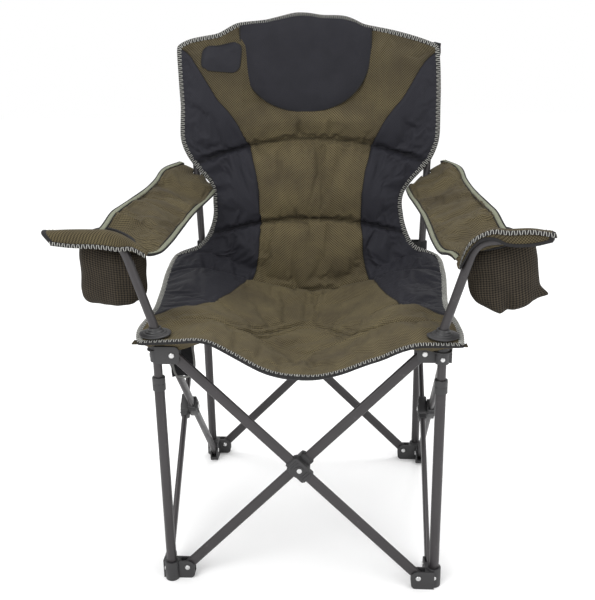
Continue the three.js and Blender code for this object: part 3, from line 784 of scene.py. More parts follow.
def sling_at(across, station):
    """Points of the sling's face: across runs from -1 at the left edge to 1 at the right one, and
    station counts from the seat's front."""
    across, station = np.broadcast_arrays(np.asarray(across, float), np.asarray(station, float))
    centre = through_points([(0, *s[0]) for s in sling_stations], station)
    edge = through_points([s[1] for s in sling_stations], station)
    knots = np.arange(top_station + 1)
    shoulder = np.interp(station, knots, [s[2] for s in sling_stations])
    arch = np.interp(station, knots, [s[3] for s in sling_stations])
    sag = np.sin(np.pi / 2 * np.minimum(1, np.abs(across) / shoulder)) ** 2
    lift = (sag * (1 - arch) + across ** 2 * arch)[..., None]
    point = centre * (1 - lift) + edge * lift
    spread = edge[..., 0] * np.where(across < 0, left_spread, 1)
    spread = spread + np.where(across < 0, drift[-1](station), drift[1](station)) * np.abs(across) ** 3
    point[..., 0] = spread * across
    near_top = np.clip((station - 9.8) / (top_station - 9.8), 0, 1) ** 1.5
    near_front = np.clip(1 - station / 1.2, 0, 1) ** 1.5
    point[..., 1] += plan_centre.y + 0.003 * near_top * np.sin(point[..., 0] * 46 + 0.8)
    point[..., 2] += near_top * top_rise(point[..., 0]) + near_front * front_rise(point[..., 0])
    return point


def grid_normals(grid):
    """Unit normals of a grid of points, on the side of its face."""
    across = np.gradient(grid, axis=1)
    along = np.gradient(grid, axis=0)
    normal = np.cross(across, along)
    return normal / np.maximum(np.linalg.norm(normal, axis=-1, keepdims=True), 1e-12)


def lengths_along(grid, axis):
    steps = np.linalg.norm(np.diff(grid, axis=axis), axis=-1)
    return np.concatenate([np.zeros_like(steps.take([0], axis)), np.cumsum(steps, axis)], axis)


def finer(grid, axis):
    """Puts a smooth point between every two along one axis of a grid."""
    grid = np.moveaxis(grid, axis, 0)
    padded = np.concatenate([2 * grid[:1] - grid[1:2], grid, 2 * grid[-1:] - grid[-2:-1]])
    between = (9 * (padded[1:-2] + padded[2:-1]) - padded[:-3] - padded[3:]) / 16
    out = np.empty((2 * len(grid) - 1, *grid.shape[1:]))
    out[::2] = grid
    out[1::2] = between
    return np.moveaxis(out, 0, axis)


def even_stations(first, last, spacing):
    """Stations from first to last, evenly spaced along the middle of the sling."""
    fine = np.linspace(first, last, 400)
    line = sling_at(np.full(400, 0.3), fine)
    run = lengths_along(line[:, None], 0)[:, 0]
    count = max(int(round(run[-1] / spacing)), 2)
    return np.interp(np.linspace(0, run[-1], count + 1), run, fine)


seam_lines = [  # where each seam crosses the middle, and how it runs as it nears the edges
    lambda u: 8.40 - 0.55 * u ** 2,
    lambda u: 6.15 - 0.75 * u ** 2,
    lambda u: 3.70 - 0.85 * u ** 2,
    lambda u: 0.75 + 1.2 * np.exp(-(u / 0.38) ** 2),
]
panel_edge = [  # station, half-width of the olive panel there
    (0.0, 0.40), (0.8, 0.30), (1.2, 0.236), (1.6, 0.196), (2.2, 0.170), (3.0, 0.146), (3.8, 0.129),
    (5.0, 0.119), (6.0, 0.114), (6.9, 0.116), (7.7, 0.123), (8.3, 0.138), (8.75, 0.164), (9.2, 0.203),
    (9.9, 0.238), (10.7, 0.278), (11.0, 0.298),
]
column_count = 104
cloth_grid_step = 0.0062
coarse_across = np.linspace(-1, 1, column_count + 1)
seat_stations = even_stations(0, crease_station, cloth_grid_step)
back_stations = even_stations(crease_station, top_station, cloth_grid_step)
coarse_stations = np.concatenate([seat_stations, back_stations[1:]])
seat_rows = len(seat_stations) - 1
across_grid, station_grid = np.meshgrid(coarse_across, coarse_stations)
face_grid = sling_at(across_grid, station_grid)
face_normals = grid_normals(face_grid)
metres_along = lengths_along(face_grid, 0)
metres_across = lengths_along(face_grid, 1)
metres_across -= metres_across[:, column_count // 2][:, None]


def relaxed(points, passes):
    """Draws each point towards the two beside it, with the ends kept where they are."""
    points = points.copy()
    for _ in range(passes):
        points[1:-1] = (points[:-2] + 2 * points[1:-1] + points[2:]) / 4
    return points


def seam_distance(index):
    """Distance along the cloth from each grid point to a seam."""
    seam = seam_lines[index](across_grid)
    at_seam = np.stack([np.interp(seam[:, c], coarse_stations, metres_along[:, c])
                        for c in range(seam.shape[1])], 1)
    return metres_along - at_seam


distances = np.stack([seam_distance(i) for i in range(4)])
nearest_seam = np.abs(distances).min(0)
from_end = np.minimum(metres_along, metres_along[-1] - metres_along)
from_edge = np.minimum((1 - np.abs(across_grid)) * 0.27, from_end)
edge_margin = 0.05
fullness = np.clip(from_edge / edge_margin, 0, 1) ** 0.6
seam_reach = 0.011
pinch = np.exp(-(nearest_seam / seam_reach) ** 2)
seat_part = np.clip((crease_station - 0.8 - station_grid) / 0.6, 0, 1)
under_headrest = (np.clip((station_grid - 8.75) / 0.4, 0, 1) *
                  np.clip((0.15 - np.abs(face_grid[..., 0])) / 0.04, 0, 1))
fullness = fullness * (1 - 0.92 * under_headrest)
back_puff, lost_on_seat = 0.0075, 0.006
seam_depth = 0.0072
join_depth = 0.0016
dent_depth = 0.0042
puff = (back_puff - lost_on_seat * seat_part) * fullness * (1 - np.exp(-(nearest_seam / 0.035) ** 2))
sink = seam_depth * pinch * fullness * (1 - 0.6 * seat_part)
panel_half = relaxed(np.interp(station_grid, *zip(*panel_edge)), 3)
past_panel = np.abs(face_grid[..., 0]) - panel_half
slope = np.gradient(past_panel, axis=0) / np.gradient(metres_along, axis=0)
past_panel /= np.sqrt(1 + slope ** 2)
sink = sink + join_depth * np.exp(-(past_panel / 0.004) ** 2) * fullness
dents = np.array([[noise.noise(Vector((p.x * 11, p.y * 8, p.z * 11 + 0.6)))
                   + 0.5 * noise.noise(Vector((p.x * 27, p.y * 17, p.z * 22))) for p in map(Vector, row)]
                  for row in face_grid])
creased_dents = dent_depth * dents * (0.45 + 0.75 * seat_part) * fullness
start_grid = face_grid + face_normals * (puff - sink + creased_dents)[..., None]


def grid_quads(rows, columns, offset=0, flip=False):
    index = offset + np.arange(rows * columns).reshape(rows, columns)
    quads = np.stack([index[:-1, :-1], index[:-1, 1:], index[1:, 1:], index[1:, :-1]], -1).reshape(-1, 4)
    return quads[:, ::-1] if flip else quads


def crumpled(name, grid, pinned, growth, cap, pressure, frames=22):
    """Lets a sheet that is cut a little too large settle between its pinned rows, so that its slack
    makes folds, none further than cap from the even shape."""
    rows, columns = grid.shape[:2]
    mesh = bpy.data.meshes.new(name)
    mesh.from_pydata(grid.reshape(-1, 3).tolist(), [], grid_quads(rows, columns).tolist())
    sheet = piece_of(name, mesh)
    group = sheet.vertex_groups.new(name="sewn")
    for index in np.flatnonzero(pinned.ravel() > 0.01):
        group.add([int(index)], float(pinned.ravel()[index]), "REPLACE")
    cloth = sheet.modifiers.new("cloth", "CLOTH")
    cloth.settings.quality = 6
    cloth.settings.mass = 0.15
    cloth.settings.tension_stiffness = 25
    cloth.settings.compression_stiffness = 25
    cloth.settings.shear_stiffness = 6
    cloth.settings.bending_stiffness = 0.35
    cloth.settings.air_damping = 2
    cloth.settings.use_pressure = True
    cloth.settings.uniform_pressure_force = pressure
    cloth.settings.shrink_min = -growth
    cloth.settings.vertex_group_mass = "sewn"
    cloth.settings.effector_weights.gravity = 0
    cloth.point_cache.frame_start = 1
    cloth.point_cache.frame_end = frames
    for step in range(1, frames + 1):
        bpy.context.scene.frame_set(step)
    settled = sheet.evaluated_get(bpy.context.evaluated_depsgraph_get()).to_mesh()
    flat = np.empty(rows * columns * 3)
    settled.vertices.foreach_get("co", flat)
    shift = flat.reshape(rows, columns, 3) - grid
    bpy.data.objects.remove(sheet)
    bpy.context.scene.frame_set(1)
    size = np.linalg.norm(shift, axis=-1, keepdims=True)
    return grid + shift * cap * np.tanh(size / cap) / np.maximum(size, 1e-9)


# The cover is cut a little larger than the shape it is sewn to, most of all on the back.
slack = np.interp(station_grid, [0, 1.5, 3.0, 4.0, 11], [0.7, 0.9, 1.1, 1.15, 1.15])
uneven = np.array([[noise.noise(Vector((x * 17, s * 2.1, 3.7))) for x in coarse_across]
                   for s in coarse_stations])
seeded = start_grid + face_normals * (0.0012 * uneven * fullness)[..., None]
sewn = np.maximum(np.exp(-(nearest_seam / 0.006) ** 2), np.exp(-(from_edge / 0.010) ** 2))
sewn[:, [0, -1]] = 1
sewn[[0, -1]] = 1
cover_grid = crumpled("cover_cloth", seeded, sewn, growth=0.075, cap=0.011, pressure=2.2)
cover_grid = start_grid + (cover_grid - start_grid) * (slack * fullness)[..., None]

# The wadding makes the pad 18 mm thick in the middle and 5 mm at its edges, and the back cloth is
# drawn in along the same seams.
hem_thickness = 0.005
pad_thickness = 0.018
wadding = (1 - np.abs(across_grid) ** 2.5) * np.clip(from_end / edge_margin, 0, 1) ** 0.6
depth = hem_thickness + (pad_thickness - hem_thickness) * wadding
lining_grid = face_grid - face_normals * (depth * (1 - 0.35 * pinch * fullness))[..., None]
cover_fine = finer(finer(cover_grid, 0), 1)
lining_fine = finer(finer(lining_grid, 0), 1)
flat_fine = finer(finer(np.stack([metres_across, metres_along], -1), 0), 1)
marks_fine = finer(finer(np.stack([past_panel, nearest_seam], -1), 0), 1)
cover_normals = grid_normals(cover_fine)
lining_normals = -grid_normals(lining_fine)


def lay_flat(mesh, flat):
    """Gives a mesh its place on the flat cloth, in metres, from one place for each of its points."""
    corners = np.empty(len(mesh.loops), np.int32)
    mesh.loops.foreach_get("vertex_index", corners)
    flat = flat.reshape(-1, 2)[corners].astype(np.float32)
    mesh.uv_layers.new(name="UVMap").data.foreach_set("uv", flat.ravel())


def pad_mesh(name, cover, lining, flat, marks, normals, materials):
    """A closed pad of two facing grids: UVs in metres, and how far each point is past the panel's edge
    and from the nearest seam."""
    rows, columns = cover.shape[:2]
    count = rows * columns
    points = np.concatenate([cover.reshape(-1, 3), lining.reshape(-1, 3)])
    faces = [grid_quads(rows, columns), grid_quads(rows, columns, count, flip=True)]
    index = np.arange(count).reshape(rows, columns)
    border = np.concatenate([index[0, :-1], index[:-1, -1], index[-1, :0:-1], index[:0:-1, 0]])
    onward = np.roll(border, -1)
    faces.append(np.stack([onward, border, border + count, onward + count], -1))
    mesh = bpy.data.meshes.new(name)
    mesh.from_pydata(points.tolist(), [], np.concatenate(faces).tolist())
    for material in materials:
        mesh.materials.append(material)
    sides = np.zeros(len(mesh.polygons), np.int32)
    sides[len(faces[0]):] = 1
    mesh.polygons.foreach_set("material_index", sides)
    mesh.polygons.foreach_set("use_smooth", np.ones(len(mesh.polygons), bool))
    lay_flat(mesh, np.stack([flat, flat]))
    for layer_name, column in (("past_panel", 0), ("from_seam", 1)):
        layer_data = mesh.attributes.new(layer_name, "FLOAT", "POINT")
        layer_data.data.foreach_set("value", np.tile(marks[..., column].ravel(), 2).astype(np.float32))
    mesh.normals_split_custom_set_from_vertices(np.concatenate([n.reshape(-1, 3) for n in normals]).tolist())
    return piece_of(name, mesh)


def own_cloth(material):
    """Where a point is on the cloth that a piece is cut from, in metres."""
    return add_node(material, "ShaderNodeUVMap", uv_map="UVMap").outputs["UV"]


def weave(material, cloth, pitch, turn=math.pi / 4):
    """Threads that cross with little holes between them, as a height from 0 in the holes to 1."""
    spacing = 2 * math.pi / pitch
    feeds = {"Vector": cloth, "Rotation": (0, 0, turn), "Scale": (spacing, spacing, spacing)}
    laid = add_node(material, "ShaderNodeMapping", feeds).outputs["Vector"]
    split = add_node(material, "ShaderNodeSeparateXYZ", {"Vector": laid})
    first = calculate(material, "COSINE", split.outputs["X"])
    second = calculate(material, "COSINE", split.outputs["Y"])
    both = calculate(material, "ADD", first, second)
    return ramp(material, both, -1.4, 1.2)


# Cover cloth: olive-brown polyester mesh with a diagonal grid of small holes, and navy-black polyester
# in a finer twill. Along each seam and the panel join the colour is darkened: painted shade for the creases.
cover_cloth, shader = new_material("cover_cloth", 0.85, sheen=0.02, shine=0.12)
cloth = own_cloth(cover_cloth)
place = own_place(cover_cloth)
past = add_node(cover_cloth, "ShaderNodeAttribute", attribute_name="past_panel").outputs["Fac"]
seam = add_node(cover_cloth, "ShaderNodeAttribute", attribute_name="from_seam").outputs["Fac"]
outside = ramp(cover_cloth, past, -0.0004, 0.0004)
mesh_pitch = 0.0037
twill_pitch = 0.0021
mesh_threads = weave(cover_cloth, cloth, mesh_pitch)
twill = weave(cover_cloth, cloth, twill_pitch)
faded = ramp(cover_cloth, noise_of(cover_cloth, place, 11, 5, 0.65), 0.32, 0.68)
olive_light = blend_colours(cover_cloth, faded, (0.088, 0.072, 0.043, 1), (0.158, 0.130, 0.068, 1))
olive = blend_colours(cover_cloth, mesh_threads, (0.024, 0.018, 0.010, 1), olive_light)
navy = blend_colours(cover_cloth, twill, (0.008, 0.008, 0.011, 1), (0.026, 0.026, 0.033, 1))
# Painted shade: the olive darkens towards the top of the back, where the pad is turned away from the light.
height = add_node(cover_cloth, "ShaderNodeSeparateXYZ", {"Vector": place}).outputs["Z"]
painted_top_shade = ramp(cover_cloth, height, 0.78, 0.93, 0.0, 0.34)
olive = blend_colours(cover_cloth, painted_top_shade, olive, (0.012, 0.011, 0.010, 1))
cover_colour = blend_colours(cover_cloth, outside, olive, navy)
# Painted shade: the colour darkens towards each seam and the panel join, where the pad is pinched into a
# crease.
at_seam = ramp(cover_cloth, seam, 0.0006, 0.005, 0.35, 1.0)
along_join = calculate(cover_cloth, "ABSOLUTE", past)
at_join = ramp(cover_cloth, along_join, 0.0004, 0.0022, 0.4, 1.0)
shade = calculate(cover_cloth, "MULTIPLY", at_seam, at_join)
gray = add_node(cover_cloth, "ShaderNodeCombineColor", {"Red": shade, "Green": shade, "Blue": shade})
cover_colour = blend_colours(cover_cloth, 1.0, cover_colour, gray.outputs["Color"], "MULTIPLY")
feed(cover_cloth, cover_colour, shader, "Base Color")
feed(cover_cloth, ramp(cover_cloth, outside, 0, 1, 0.88, 0.62), shader, "Roughness")
thread_height = calculate(cover_cloth, "ADD", calculate(cover_cloth, "MULTIPLY", mesh_threads, 0.6),
                          noise_of(cover_cloth, place, 140, 3))
raise_bumps(cover_cloth, shader, thread_height, 0.0007, 0.6)

# Back cloth: plain black 600-denier polyester.
lining_cloth, shader = new_material("lining_cloth", 0.8, sheen=0.02, shine=0.15)
cloth = own_cloth(lining_cloth)
place = own_place(lining_cloth)
seam = add_node(lining_cloth, "ShaderNodeAttribute", attribute_name="from_seam").outputs["Fac"]
plain = weave(lining_cloth, cloth, 0.0016, 0.0)
lining_colour = blend_colours(lining_cloth, plain, (0.008, 0.008, 0.009, 1), (0.03, 0.03, 0.033, 1))
# Painted shade: the back cloth darkens towards each seam, where it is drawn into a crease.
at_seam = ramp(lining_cloth, seam, 0.0006, 0.003, 0.6, 0.0)
lining_colour = blend_colours(lining_cloth, at_seam, lining_colour, (0.004, 0.004, 0.004, 1))
feed(lining_cloth, lining_colour, shader, "Base Color")
creased = calculate(lining_cloth, "ADD", plain, noise_of(lining_cloth, place, 60, 4))
raise_bumps(lining_cloth, shader, creased, 0.0006, 0.5)

crease_row = 2 * seat_rows
centre_column = column_count


def sling_part(name, rows, columns):
    normals = (cover_normals[rows, columns], lining_normals[rows, columns])
    return pad_mesh(name, cover_fine[rows, columns], lining_fine[rows, columns], flat_fine[rows, columns],
                    marks_fine[rows, columns], normals, (cover_cloth, lining_cloth))


def folding(piece):
    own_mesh(piece)
    return piece


def seat_piece(piece, name):
    """Gives a piece of the seat its body and its own copy of its mesh."""
    fit(piece, cover_cloth, "olive_mesh", f"seat_half_{name}")
    return folding(piece)


def back_piece(piece):
    """Gives a piece of the back its body and its own copy of its mesh."""
    fit(piece, cover_cloth, "black_polyester", "post_rear_left")
    return folding(piece)


whole = slice(None)
for name, columns in (("left", slice(0, centre_column + 1)), ("right", slice(centre_column, None))):
    piece = sling_part(f"seat_pad_{name}", slice(0, crease_row + 1), columns)
    seat_piece(piece, name)
    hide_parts(f"seat_{name}")
back_pad = sling_part("back_pad", slice(crease_row, None), whole)
back_piece(back_pad)
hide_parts("back_panel")

# ---------------------------------------------------------------------------------------------------
# Edge binding: black woven tape folded over the edge of the pad all the way round, sewn on with a
# pale grey overlock thread that wraps over it about every 4 mm.
def evened(points, spacing, *others):
    """Points a fixed spacing apart along a line, and whatever else goes with them."""
    run = lengths_along(points[:, None], 0)[:, 0]
    count = max(int(round(run[-1] / spacing)), 2)
    at = np.linspace(0, run[-1], count + 1)
    return [np.stack([np.interp(at, run, line[:, k]) for k in range(3)], 1) for line in (points, *others)]


def unit(vectors):
    """The same directions, each of length 1."""
    return vectors / np.maximum(np.linalg.norm(vectors, axis=-1, keepdims=True), 1e-12)


def round_quads(rings, steps):
    """The faces of a tube of rings, and the numbers of its points."""
    index = np.arange(rings * steps).reshape(rings, steps)
    after = np.roll(index, -1, 1)
    return np.stack([index[:-1], index[1:], after[1:], after[:-1]], -1).reshape(-1, 4).tolist(), index


def swept(name, line, across, lift, section, material):
    """A closed section carried along a line: each of its points is (along across, along lift)."""
    section = np.asarray(section, float)
    rings = line[:, None] + across[:, None] * section[None, :, :1] + lift[:, None] * section[None, :, 1:]
    quads, index = round_quads(len(line), len(section))
    ends = [index[0].tolist(), index[-1, ::-1].tolist()]
    mesh = bpy.data.meshes.new(name)
    mesh.from_pydata(rings.reshape(-1, 3).tolist(), [], quads + ends)
    run = lengths_along(line[:, None], 0)[:, 0]
    around = np.linspace(0, 0.02, len(section))
    lay_flat(mesh, np.stack(np.broadcast_arrays(run[:, None], around[None, :]), -1))
    mesh.materials.append(material)
    return smooth(face_outwards(piece_of(name, mesh)), 50)


def rounded_tape(width, height, inward_shift, corners=12, squareness=2.6):
    """The section of a tape folded over an edge: flat-sided, its middle shifted in from the edge."""
    angle = np.arange(corners) * 2 * np.pi / corners
    round_way = np.stack([np.cos(angle), np.sin(angle)], -1)
    bulged = np.sign(round_way) * np.abs(round_way) ** (2 / squareness)
    return bulged * (width / 2, height / 2) + (inward_shift, 0)


def overlock(name, line, inward, lift, width, height, inward_shift, material, pitch=0.0043, thread=0.00055):
    """Short bars of thread over the top of a tape, each bent over its edge."""
    places, inner, raised = evened(line, pitch, inward, lift)
    inner, raised = unit(inner), unit(raised)
    half_width, half_height = width / 2 + thread * 0.6, height / 2 + thread * 0.6
    bars = [(inward_shift + half_width * math.cos(a), half_height * math.sin(a))
            for a in np.radians([30, 55, 90, 125, 150])]
    points, faces = [], []
    slant = 0.0009
    along = unit(np.gradient(places, axis=0))
    for k, (place, side_way, up_way, way) in enumerate(zip(places, inner, raised, along)):
        lean = slant * (1 if k % 2 else -1)
        first = len(points)
        for j, (reach, rise) in enumerate(bars):
            spot = place + side_way * reach + up_way * rise + way * lean * (1 - j / 2)
            out = unit(side_way * (reach - inward_shift) / half_width + up_way * rise / half_height)
            points += [spot + out * thread, spot + way * thread, spot - out * thread, spot - way * thread]
        for j in range(len(bars) - 1):
            low, high = first + 4 * j, first + 4 * (j + 1)
            faces += [(low + i, low + (i + 1) % 4, high + (i + 1) % 4, high + i) for i in range(4)]
        faces += [(first + 3, first + 2, first + 1, first),
                  tuple(first + 4 * (len(bars) - 1) + i for i in range(4))]
    mesh = bpy.data.meshes.new(name)
    mesh.from_pydata([tuple(p) for p in points], [], faces)
    mesh.materials.append(material)
    return smooth(face_outwards(piece_of(name, mesh)), 60)


def tape_finish(name, dark, light, rib=0.0012):
    """Ribbed woven tape: fine ribs across it, and a worn, uneven colour along it."""
    material, shader = new_material(name, 0.8, sheen=0.02, shine=0.15)
    cloth = own_cloth(material)
    place = own_place(material)
    length_way = add_node(material, "ShaderNodeSeparateXYZ", {"Vector": cloth}).outputs["X"]
    ribs = calculate(material, "SINE", calculate(material, "MULTIPLY", length_way, 2 * math.pi / rib))
    ribs = ramp(material, ribs, -1, 1)
    rubbed = noise_of(material, place, 120, 4, 0.65)
    share = calculate(material, "ADD", calculate(material, "MULTIPLY", ribs, 0.45),
                      calculate(material, "MULTIPLY", rubbed, 0.6), clamp=True)
    feed(material, blend_colours(material, share, dark, light), shader, "Base Color")
    raise_bumps(material, shader, ribs, 0.0003, 0.7)
    return material


def thread_finish(name, dark, light):
    """Twisted spun thread, with short slanting strands."""
    material, shader = new_material(name, 0.75, shine=0.2)
    place = own_place(material)
    strands = noise_of(material, place, 1600, 2)
    feed(material, blend_colours(material, strands, dark, light), shader, "Base Color")
    raise_bumps(material, shader, strands, 0.0002, 0.5)
    return material


black_tape = tape_finish("black_tape", (0.006, 0.006, 0.007, 1), (0.028, 0.027, 0.027, 1))
pale_thread = thread_finish("pale_thread", (0.22, 0.22, 0.2, 1), (0.62, 0.62, 0.58, 1))

tape_step = 0.004
edge_tape = (0.0115, hem_thickness + 0.0026, 0.0035)      # width, thickness, shift in from the edge
middle_fine = (cover_fine + lining_fine) / 2


def binding(name, line, inward, lift, dress, size=edge_tape):
    """A length of binding with its stitching; dress gives each its body."""
    line, inward, lift = evened(line, tape_step, inward, lift)
    dress(swept(name, line, inward, lift, rounded_tape(*size), black_tape))
    dress(overlock(name + "_stitching", line, inward, lift, *size, pale_thread))


def edge_of_sling(rows, columns):
    """The line of an edge, with the way up from the face of the cloth."""
    line = middle_fine[rows, columns].reshape(-1, 3)
    lift = cover_normals[rows, columns].reshape(-1, 3)
    return line, lift


def round_the_corner(first, second, passes=3):
    """Joins two edges that meet at a corner and eases the corner."""
    line = np.concatenate([first[0], second[0][1:]])
    lift = np.concatenate([first[1], second[1][1:]])
    return relaxed(line, passes), unit(relaxed(lift, passes * 3))


def bound(name, line, lift, towards, dress):
    """Works out the way into the cloth, square to the edge and to the face, and sews the binding on."""
    line, lift = evened(line, tape_step, lift)
    line = relaxed(line, 2)
    along = unit(np.gradient(line, axis=0))
    inward = unit(np.cross(lift, along))
    if np.sum(inward * (towards - line)) < 0:
        inward = -inward
    inward = unit(relaxed(inward, 6))
    square = np.cross(inward, along)
    upward = unit(square) * np.sign(np.sum(square * lift, 1, keepdims=True))
    binding(name, line, inward, upward, dress)


seat_middle = np.array([0, plan_centre.y, rim - 0.07])
last_column = 2 * column_count
for name, side in sides:
    edge_column = 0 if side < 0 else last_column
    order = slice(centre_column, None, -1) if side < 0 else slice(centre_column, None)
    front_edge = edge_of_sling(slice(0, 1), order)
    side_edge = edge_of_sling(slice(0, crease_row + 1), slice(edge_column, edge_column + 1))
    line, lift = round_the_corner(front_edge, side_edge)
    bound(f"seat_binding_{name}", line, lift, seat_middle, lambda piece: seat_piece(piece, name))
left_edge = edge_of_sling(slice(crease_row, None), slice(0, 1))
top_edge = edge_of_sling(slice(-1, None), whole)
right_edge = edge_of_sling(slice(None, crease_row - 1, -1), slice(last_column, None))
line, lift = round_the_corner(left_edge, top_edge)
line, lift = round_the_corner((line, lift), right_edge)
bound("back_binding", line, lift, np.array([0, rear + plan_centre.y, rim + 0.26]), back_piece)

# ---------------------------------------------------------------------------------------------------
# Headrest pad: a separate crowned pad of smooth black cloth, sewn on the top of the back in a deep U
# and finished with a thin piping.
def even_marks(grid, past_panel, from_seam):
    """The same marks at every point of a grid."""
    return np.broadcast_to((past_panel, from_seam), (*grid.shape[:2], 2))


headrest_half = 0.142
headrest_foot = 8.92         # the station of its lowest point
headrest_middle = -0.008
pad_columns, pad_rows = 72, 72
pad_across = np.linspace(-1, 1, pad_columns + 1)
pad_up = np.linspace(0, 1, pad_rows + 1) ** 1.25
pad_u, pad_v = np.meshgrid(pad_across, pad_up)
pad_station = headrest_foot + pad_v * (top_station - 0.06 - headrest_foot)
widening = (1 - (1 - np.minimum(pad_v / 0.78, 1)) ** 2.3) ** (1 / 2.3)
edge_x = through_points([s[1] for s in sling_stations], pad_station)[..., 0]
pad_x = pad_u * headrest_half * np.maximum(widening, 0.02) + headrest_middle
pad_base = sling_at(pad_x / edge_x, pad_station)
pad_base_normals = grid_normals(pad_base)
pad_base_normals[0] = pad_base_normals[1]
crown = (1 - np.abs(pad_u) ** 5) * (1 - (1 - np.minimum(pad_v / 0.35, 1)) ** 4)
crown = crown * (1 - 0.75 * np.clip((pad_v - 0.8) / 0.2, 0, 1) ** 2)
rumple = np.array([[noise.noise(Vector((x * 16, z * 9, 1.3))) for x, z in zip(line_x, line_z)]
                   for line_x, line_z in zip(pad_x, pad_base[..., 2])])
pad_height = 0.0105 + 0.0075 * crown + 0.0022 * rumple * crown
pad_face = pad_base + pad_base_normals * pad_height[..., None]
pad_rear = pad_base + pad_base_normals * 0.0012

headrest_cloth, shader = new_material("headrest_cloth", 0.8, sheen=0.03, shine=0.12)
cloth = own_cloth(headrest_cloth)
place = own_place(headrest_cloth)
fine_weave = weave(headrest_cloth, cloth, 0.0013, 0.0)
brushed = noise_of(headrest_cloth, place, 30, 5, 0.6)
brushed_colour = blend_colours(headrest_cloth, brushed, (0.016, 0.016, 0.02, 1), (0.034, 0.034, 0.041, 1))
headrest_colour = blend_colours(headrest_cloth, fine_weave, (0.012, 0.012, 0.015, 1), brushed_colour)
feed(headrest_cloth, headrest_colour, shader, "Base Color")
pile = calculate(headrest_cloth, "ADD", fine_weave, noise_of(headrest_cloth, place, 90, 4))
raise_bumps(headrest_cloth, shader, pile, 0.0004, 0.5)

pad_flat = np.stack([pad_x, lengths_along(pad_base, 0)], -1)
headrest = pad_mesh("headrest", pad_face, pad_rear, pad_flat, even_marks(pad_face, 1.0, 1.0),
                    (grid_normals(pad_face), -pad_base_normals), (headrest_cloth, headrest_cloth))
back_piece(headrest)
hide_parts("headrest_pad")
rim_line = np.concatenate([pad_face[:0:-1, 0], pad_face[0], pad_face[1:, -1]])
rim_lift = np.concatenate([pad_base_normals[:0:-1, 0], pad_base_normals[0], pad_base_normals[1:, -1]])
rim_line, rim_lift = evened(rim_line - 0.0012 * rim_lift, 0.003, rim_lift)
rim_line = relaxed(rim_line, 8)
rim_across = unit(np.cross(unit(np.gradient(rim_line, axis=0)), rim_lift))
back_piece(swept("headrest_piping", rim_line, rim_across, unit(rim_lift),
                 rounded_tape(0.0042, 0.0042, 0, 8, 2), black_tape))

# A plain dark patch is sewn on the upper left of the back.
patch_u, patch_v = np.meshgrid(np.linspace(-1, 1, 41), np.linspace(-1, 1, 41))
rounding = np.sqrt(1 - np.clip(np.abs(patch_u), 0, 1) ** 2 * 0.5 * np.abs(patch_v) ** 6)
patch_middle = -0.196
patch_x = patch_middle + 0.044 * patch_u * rounding + 0.003 * patch_v
patch_station = 10.28 + 0.36 * patch_v * np.sqrt(1 - 0.10 * patch_u ** 6) - 0.06 * patch_u
patch_edge_x = through_points([s[1] for s in sling_stations], patch_station)[..., 0] * left_spread
patch_base = sling_at(patch_x / patch_edge_x, patch_station)
patch_normals = grid_normals(patch_base)
cover_points = cover_fine[crease_row:].reshape(-1, 3)
reachable = np.abs(cover_points[:, 0] - patch_middle) < 0.07
reachable &= cover_points[:, 2] > rim + 0.35
nearby = cover_points[reachable]
proud = np.empty(patch_base.shape[:2])
for r in range(patch_base.shape[0]):
    for c in range(patch_base.shape[1]):
        aside = nearby - patch_base[r, c]
        height = aside @ patch_normals[r, c]
        off = np.sum(aside ** 2, 1) - height ** 2
        proud[r, c] = height[np.argsort(off)[:4]].mean()
for _ in range(3):
    proud[1:-1, 1:-1] = (proud[:-2, 1:-1] + proud[2:, 1:-1] + proud[1:-1, :-2] + proud[1:-1, 2:]) / 4
patch_face = patch_base + patch_normals * (proud + 0.0016)[..., None]
patch = pad_mesh("back_patch", patch_face, patch_face - patch_normals * 0.0014,
                 np.stack([patch_x, lengths_along(patch_base, 0)], -1), even_marks(patch_x, 1.0, 1.0),
                 (grid_normals(patch_face), -patch_normals), (headrest_cloth, headrest_cloth))
back_piece(patch)
around = [(0, whole), (whole, -1), (-1, slice(None, None, -1)), (slice(None, None, -1), 0)]
line = np.concatenate([patch_face[rows, columns] for rows, columns in around])
lift = np.concatenate([patch_normals[rows, columns] for rows, columns in around])
line, lift = evened(line + lift * 0.0002, 0.003, lift)
line = relaxed(line, 3)
way = unit(np.cross(unit(np.gradient(line, axis=0)), lift))
back_piece(swept("back_patch_stitching", line, way, unit(lift), rounded_tape(0.0022, 0.0018, 0, 8, 2),
                 black_tape))

# ---------------------------------------------------------------------------------------------------
# Arms: slings of the olive mesh between an edge that rises to the upright and one that dips inside it.
# At the front the cloth turns over the end of the arm post and is hemmed below it.
arm_outer = [(half + x, plan_centre.y + y, arm_height + z) for x, y, z in (
    (0.051, rear + 0.046, 0.043), (0.080, rear - 0.001, 0.036), (0.085, rear - 0.076, 0.022),
    (0.089, rear - 0.156, 0.016), (0.097, front + 0.230, 0.014), (0.109, front + 0.130, 0.011),
    (0.132, front + 0.050, 0.008), (0.168, front + 0.016, 0.006))]
arm_inner = [(half + x, plan_centre.y + y, arm_height + z) for x, y, z in (
    (-0.036, rear + 0.016, -0.018), (-0.034, rear - 0.040, -0.020), (-0.026, rear - 0.110, -0.024),
    (-0.018, rear - 0.190, -0.029), (-0.014, front + 0.220, -0.034), (-0.011, front + 0.130, -0.040),
    (-0.004, front + 0.060, -0.042), (0.009, front + 0.016, -0.034))]
hem_top = {  # the cloth over the arm post: how far out, how high, from the inner edge
    "left": [(0.258, 0.660), (0.279, 0.677), (0.302, 0.691), (0.325, 0.698), (0.350, 0.699), (0.388, 0.699),
             (0.438, 0.697)],
    "right": [(0.274, 0.640), (0.279, 0.660), (0.289, 0.680), (0.307, 0.694), (0.327, 0.701), (0.352, 0.699),
              (0.393, 0.700), (0.430, 0.694)],
}
